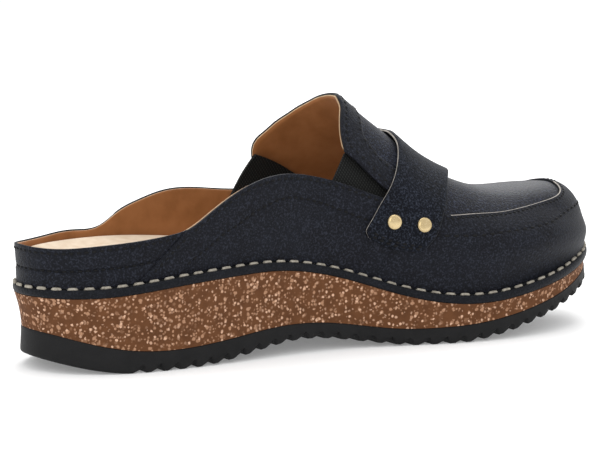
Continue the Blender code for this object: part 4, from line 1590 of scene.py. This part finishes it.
    def build_apron(self) -> None:
        """Apron and tongue: the border band at full height, the apron sunk by its step."""
        rows = np.concatenate([
            [0.0, 0.03, 0.07], np.linspace(0.12, 1.0, 15), [1.25, 1.5, 1.75], 2 + np.linspace(0, 1, 44)
        ])
        turns, climbs, deep, height = self.top_patch(1.0, rows)
        at, tongue = self.top_columns(1.0)
        forward = np.where(tongue, 0.0, step((at - 0.640) / 0.035))
        share = self.tongue_relief + (1 - self.tongue_relief) * forward
        outer = -self.apron_step * deep * share[None, :]
        inner = np.minimum(-self.leather + 0 * deep, outer - 0.7 * MM)
        rear = np.where(tongue, np.clip(at / 0.02, 0, 1), 1.0)[None, :]
        foot = np.where(tongue[None, :], np.clip(height / 0.07, 0, 1)[:, None], 1.0)
        edge = np.minimum(rear, foot)
        outer = outer - 0.38 * MM * (1 - edge) ** 2
        inner = inner + 0.15 * MM * (1 - edge)
        sewn = np.where(tongue, dent(at - 0.095, 0.035), 0.0)[None, :] * (height > 0.25)[:, None]
        outer = outer - 0.2 * MM * sewn
        # Apron faces get the apron leather, whose lighter speckle is painted highlight.
        marks = np.where(face_means(deep) > 0.6, 2, 0)
        finishes = [Finish.NAVY, Finish.INKED, Finish.APRON]
        self.cover("upper_apron", turns, climbs, outer, inner, finishes, marks)

    def build_lining(self) -> None:
        """Tan lining inside the body and inside the top patch."""
        share, side, top, _ = self.body_grid(self.body_columns(0.5))
        unit_mm = MM / self.last.per_climb(side * turn_of(share), top * 0.9) / top
        free = share < GORE_POINT
        end = np.where(free, 1 - 0.50 * unit_mm, 1.0)
        rows = [f * (end - 1.2 * unit_mm) for f in np.linspace(0, 1, 18)]
        rows += [end - 0.4 * unit_mm, end - 0.1 * unit_mm, end]
        part = np.stack(rows)
        turns = side * turn_of(self.lean(share[None], part))
        outer = np.full(part.shape, -self.leather - 0.02 * MM)
        inner = np.full(part.shape, -self.wall)
        outer[-1] -= 0.2 * MM
        inner[-1] += np.where(free, 0.45 * MM, 0.0)
        inner[-2] += np.where(free, 0.15 * MM, 0.0)
        finishes = [Finish.LINING, Finish.SPLIT]
        self.cover("lining_quarters", turns, part * top, outer, inner, finishes)
        rows = np.concatenate([[0.12, 0.15], np.linspace(0.20, 1.0, 8), [1.5], 2 + np.linspace(0, 1, 24)])
        turns, climbs, deep, _ = self.top_patch(0.5, rows)
        at, tongue = self.top_columns(0.5)
        rear = np.where(tongue, np.clip(at / 0.03, 0, 1), 1.0)[None, :]
        outer = np.minimum(-self.leather + 0 * deep, -self.apron_step * deep - 0.7 * MM) - 0.02 * MM
        inner = -self.wall + 0.65 * MM * (1 - rear) + 0 * deep
        self.cover("lining_vamp", turns, climbs, outer, inner, finishes)

    def body_line(self, low: float, high: float, side: int, count: int = 260) -> Array:
        """Evenly spaced shares from low to high as turns of one side."""
        return side * turn_of(np.linspace(low, high, count))

    def build_stitches(self) -> None:
        """Every row of black stitches on the upper, as one piece."""
        last = self.last
        skins = []
        # Along the apron seam, from the strap round the toe and back.
        first = float(turn_of(0.655))
        turns = np.linspace(first, 2 * math.pi - first, 700)
        top = last.top_line(turns)
        sewn = top - self.edge_in / last.per_climb(turns, top * 0.95)
        skins.append(Seam(last, turns, sewn, pitch=2.5 * MM, length=1.6 * MM).bars())
        # Along the second line of the ring, from the strap round the toe and back.
        first = float(turn_of(0.628))
        turns = np.linspace(first, 2 * math.pi - first, 700)
        skins.append(Seam(last, turns, last.belt(turns), pitch=4.2 * MM, length=2.6 * MM).bars())
        for side in (-1, 1):
            # Along the quarter's top line and its second line.
            turns = self.body_line(0.225, 0.548, side)
            top = last.top_line(turns)
            sewn = top - self.edge_in / last.per_climb(turns, top * 0.95)
            skins.append(Seam(last, turns, sewn).bars())
            turns = self.body_line(0.214, 0.530, side)
            skins.append(Seam(last, turns, last.belt(turns)).bars())
            # Beside the band's seam, on the quarter.
            climbs = np.linspace(0.020, 0.105, 60)
            turns = side * turn_of(self.lean(np.full(60, BAND_END), climbs / BAND_TOP) + 0.014)
            skins.append(Seam(last, turns, climbs).bars())
            # Round the tongue's edge and along the band's inner seam.
            rows = np.linspace(0.3, 3, 200)
            line, climb, _ = self.top_side(side, np.array([0.095]), np.array([True]), rows)
            skins.append(Seam(last, line[:, 0], climb[:, 0]).bars())
            at = np.linspace(0.095, 0.98, 80)
            line, climb, _ = self.top_side(side, at, np.ones(80, bool), np.array([0.25]))
            skins.append(Seam(last, line[0], climb[0]).bars())
            rows = np.linspace(1.0, 3, 160)
            line, climb, _ = self.top_side(side, np.array([0.375]), np.array([True]), rows)
            skins.append(Seam(last, line[:, 0], climb[:, 0]).bars())
            at = np.linspace(0.40, 0.98, 60)
            line, climb, _ = self.top_side(side, at, np.ones(60, bool), np.array([0.90]))
            skins.append(Seam(last, line[0], climb[0]).bars())
        # Round the heel band: below its edge, and along its middle seam.
        turns = np.linspace(-float(turn_of(0.20)), float(turn_of(0.20)), 260)
        top = last.top_line(turns)
        sewn = top - self.edge_in / last.per_climb(turns, top * 0.95)
        skins.append(Seam(last, turns, sewn, -self.band_step).bars())
        turns = np.linspace(-float(turn_of(0.158)), float(turn_of(0.158)), 260)
        skins.append(Seam(last, turns, BAND_BELT * last.top_line(turns), -0.95 * MM).bars())
        make_piece("upper_stitches", join(skins), [Finish.BLACK_THREAD.material()])

    def build(self) -> None:
        """All pieces of the upper."""
        self.build_ring()
        self.build_apron()
        self.build_lining()
        self.build_stitches()


@dataclass
class Strap:
    """Saddle strap over the instep, with cut edges, a slot at its middle and sewn ends."""

    last: Last
    fit: float = 0.5 * MM
    thickness: float = 1.8 * MM
    slot_parts: tuple[float, float] = (0.46, 0.56)
    slot_climb: float = 0.86
    rounding: float = 0.95 * MM
    rear_rise: float = 0.2 * MM
    front_drop: float = 0.35 * MM
    stitch_rows: tuple[float, float] = (0.016, 0.030)
    thin_part: float = 0.035
    thin_climb: float = 0.030
    front_part: float = 0.085
    slot_draw: float = 0.8
    slot_reach: float = 0.15
    slot_fade: float = 0.05

    def places(self, part: Array, climb: Array, side: Array) -> Array:
        """Turns at parts of the strap's width, from its rear edge (0) to its front edge (1)."""
        rear, fore = across_top(STRAP_EDGES, 1), across_top(STRAP_EDGES, 2)
        return side * turn_of(rear(climb) * (1 - part) + fore(climb) * part)

    def build_strap(self) -> None:
        """One bent sheet from side to side, thinned at its edges, with the slot left open."""
        end = spline(STRAP_END, 1)
        low, high = self.slot_parts
        parts = np.concatenate([
            [0.0, 0.006, 0.016, 0.035], np.linspace(0.07, low - 0.01, 10), np.linspace(low, high, 8),
            np.linspace(high + 0.01, 0.93, 11), [0.965, 0.984, 0.994, 1.0],
        ])
        up = np.concatenate([[0.0, 0.005, 0.015, 0.035], np.linspace(0.06, self.slot_climb, 50)])
        up = np.concatenate([up, np.linspace(self.slot_climb, 1.0, 11)[1:]])
        rise = np.concatenate([up, up[::-1][1:]])[:, None]
        side = np.concatenate([-np.ones(len(up)), np.ones(len(up) - 1)])[:, None]
        foot = end(parts)[None, :]
        climbs = foot + (1 - foot) * rise
        middle = (low + high) / 2
        along = np.clip((1 - climbs) / (1 - self.slot_climb), 0, 1)
        past = step((self.slot_climb - climbs) / self.slot_fade)
        lens = np.where(climbs > self.slot_climb, np.sqrt(1 - along**2), past)
        near = 1 - step((np.abs(parts - middle)[None, :] - (high - low) / 2) / self.slot_reach)
        warped = parts[None, :] + (middle - parts)[None, :] * self.slot_draw * (1 - lens) * near
        turns = self.places(warped, climbs, side)
        to_side = np.minimum(parts, 1 - parts)[None, :] / self.thin_part
        thin = np.minimum(to_side, rise / self.thin_climb + 0 * parts[None, :])
        thin = (1 - np.clip(thin, 0, 1)) ** 2
        fuller = self.rear_rise * step((climbs - 0.72) / 0.2) * (1 - step(parts / 0.35))[None, :]
        inner = self.fit + 0.25 * MM * thin
        outer = self.fit + self.thickness + fuller * (1 - thin) - self.rounding * thin
        front = (1 - np.clip((1 - parts) / self.front_part, 0, 1)) ** 2
        outer = outer - self.front_drop * front[None, :]
        mid_climb, mid_part = face_means(climbs), face_means(parts[None, :] + 0 * climbs)
        open_slot = (mid_climb > self.slot_climb) & (mid_part > low) & (mid_part < high)
        skin = self.last.sheet(turns, climbs, outer, inner, 1, kept=~open_slot)
        finishes = [Finish.STRAP.material(), Finish.CUT.material()]
        make_piece("saddle_strap", skin, finishes, ["strap"])

    def build_stitches(self) -> None:
        """Two rows of stitches across each end."""
        end = spline(STRAP_END, 1)
        skins = []
        for side in (-1, 1):
            for lift in self.stitch_rows:
                parts = np.linspace(0.10, 0.93, 60)
                climbs = end(parts) + lift
                turns = self.places(parts, climbs, side)
                skins.append(Seam(self.last, turns, climbs, self.fit + self.thickness).bars())
        make_piece("strap_stitches", join(skins), [Finish.BLACK_THREAD.material()])

    def build_rivets(self) -> None:
        """Turned heads: a shallow dome, a fine groove and a rounded rim, revolved."""
        profile = np.array([
            (0.0, 1.30), (0.8, 1.28), (1.5, 1.21), (2.05, 1.11), (2.35, 1.02), (2.45, 0.96), (2.60, 0.98),
            (2.85, 0.93), (3.02, 0.76), (3.12, 0.48), (3.10, 0.20), (3.00, 0.0), (0.0, 0.0),
        ]) * MM
        angles = np.linspace(0, 2 * math.pi, 49)
        for side, word in ((-1, "inner"), (1, "outer")):
            for number, (part, climb) in enumerate(RIVETS, 1):
                turn = self.places(np.array([part]), np.array([climb]), side)
                axis = self.last.normal(turn, np.array([climb]))[0]
                foot = self.last.place(turn, np.array([climb]), self.fit + self.thickness + 0.05 * MM)[0]
                across = unit(np.cross(axis, (0.0, 0.0, 1.0)))
                upward = np.cross(across, axis)
                spoke = np.cos(angles)[:, None] * across + np.sin(angles)[:, None] * upward
                points = foot + profile[:, None, 1:] * axis + profile[:, None, :1] * spoke[None]
                faces = grid(*points.shape[:2])
                skin = Skin(points.reshape(-1, 3), faces, np.zeros(len(faces), int))
                name = f"rivet_{word}_{number}"
                make_piece(f"{name}_head", skin, [Finish.GOLD.material()], [name], 30)

    def build(self) -> None:
        """Strap, its stitches and rivets."""
        self.build_strap()
        self.build_stitches()
        self.build_rivets()


@dataclass
class Gores:
    """Elastic panels behind the notches, between quarter and tongue."""

    last: Last
    top: float = -3.4 * MM
    thickness: float = 1.2 * MM

    def build(self) -> None:
        """Each panel is ruled between its low and its high line, under the upper's wall."""
        a = np.linspace(0, 1, 60)[:, None]
        b = np.linspace(0, 1, 36)[None, :]
        for side, first, word in ((-1, 1, "inner"), (1, 5, "outer")):
            lines = [spline(GORE_LINES, first + i) for i in range(4)]
            share = lines[0](a) * (1 - b) + lines[2](a) * b
            climbs = lines[1](a) * (1 - b) + lines[3](a) * b
            turns = side * turn_of(share)
            skin = self.last.sheet(turns, climbs, self.top, self.top - self.thickness)
            name = f"gore_{word}"
            make_piece(f"{name}_web", skin, [Finish.ELASTIC.material()], [name])


@dataclass
class Studio:
    """Pale floor, soft lights and the photograph's camera."""

    target: tuple[float, float, float] = (0.001, 0.0, 0.045)
    azimuth: float = 31.0
    elevation: float = 8.5
    distance: float = 1.1
    lens: float = 158.669
    shift: tuple[float, float] = (-0.01686, 0.00855)
    floor_half: float = 12.0

    def build_camera(self) -> None:
        """Camera that looks along the azimuth and down by the elevation at the target."""
        az, el = math.radians(self.azimuth), math.radians(self.elevation)
        forward = Vector((math.sin(az) * math.cos(el), math.cos(az) * math.cos(el), -math.sin(el)))
        data = bpy.data.cameras.new("photo_camera")
        data.sensor_width = 36.0
        data.lens = self.lens
        data.shift_x, data.shift_y = self.shift
        camera = bpy.data.objects.new("photo_camera", data)
        camera.location = Vector(self.target) - forward * self.distance
        camera.rotation_euler = forward.to_track_quat("-Z", "Y").to_euler()
        bpy.context.scene.collection.objects.link(camera)
        bpy.context.scene.camera = camera

    def build_floor(self) -> None:
        """Wide matt white table just under the sole, lit softly from below, which greys the shadows."""
        made, tree, shader, at = start_material("white_floor_paper")
        cloud = add_node(tree, "ShaderNodeTexNoise", {"Vector": at, "Scale": 3.0})
        tone = add_node(
            tree, "ShaderNodeMix", {0: cloud.outputs[0], 6: linear("#e9e9e9"), 7: linear("#ededed")},
            data_type="RGBA",
        )
        tree.links.new(tone.outputs[2], shader.inputs["Base Color"])
        shader.inputs["Emission Color"].default_value = (1.0, 1.0, 1.0, 1.0)
        shader.inputs["Emission Strength"].default_value = 0.20
        shader.inputs["Roughness"].default_value = 0.9
        shader.inputs["Specular IOR Level"].default_value = 0.1
        mesh = bpy.data.meshes.new("floor")
        half, low = self.floor_half, -0.02 * MM
        corners = [(-half, -half, low), (half, -half, low), (half, half, low), (-half, half, low)]
        mesh.from_pydata(corners, [], [(0, 1, 2, 3)])
        mesh.materials.append(made)
        floor = bpy.data.objects.new("floor", mesh)
        bpy.context.scene.collection.objects.link(floor)

    def build_lights(self) -> None:
        """Softboxes overhead, behind on the toe side and front left, and a bright even room."""
        for name, place, size, power in (
            ("softbox_top", (0.05, 0.10, 1.5), 1.2, 8.0),
            ("softbox_back", (0.70, 1.00, 0.95), 0.7, 9.0),
            ("softbox_left", (-1.2, -1.3, 0.8), 1.0, 6.0),
        ):
            data = bpy.data.lights.new(name, "AREA")
            data.shape = "SQUARE"
            data.size = size
            data.energy = power
            lamp = bpy.data.objects.new(name, data)
            lamp.location = place
            way = Vector((0.0, 0.0, 0.05)) - Vector(place)
            lamp.rotation_euler = way.to_track_quat("-Z", "Y").to_euler()
            bpy.context.scene.collection.objects.link(lamp)
        world = bpy.data.worlds.new("studio_room")
        world.use_nodes = True
        back = world.node_tree.nodes["Background"]
        back.inputs["Color"].default_value = (1.0, 1.0, 1.0, 1.0)
        back.inputs["Strength"].default_value = 1.0
        bpy.context.scene.world = world
        bpy.context.scene.view_settings.view_transform = "Standard"

    def build(self) -> None:
        """Camera, floor and lights."""
        self.build_camera()
        self.build_floor()
        self.build_lights()


def main() -> None:
    """Builds the studio and the shoe."""
    logging.basicConfig(level=logging.INFO, format="%(name)s: %(message)s")
    Studio().build()
    last = Last()
    for part in (Sole(last), Rand(last), Footbed(last), Upper(last), Strap(last), Gores(last)):
        LOG.info("building %s", type(part).__name__)
        part.build()


if __name__ == "__main__":
    main()
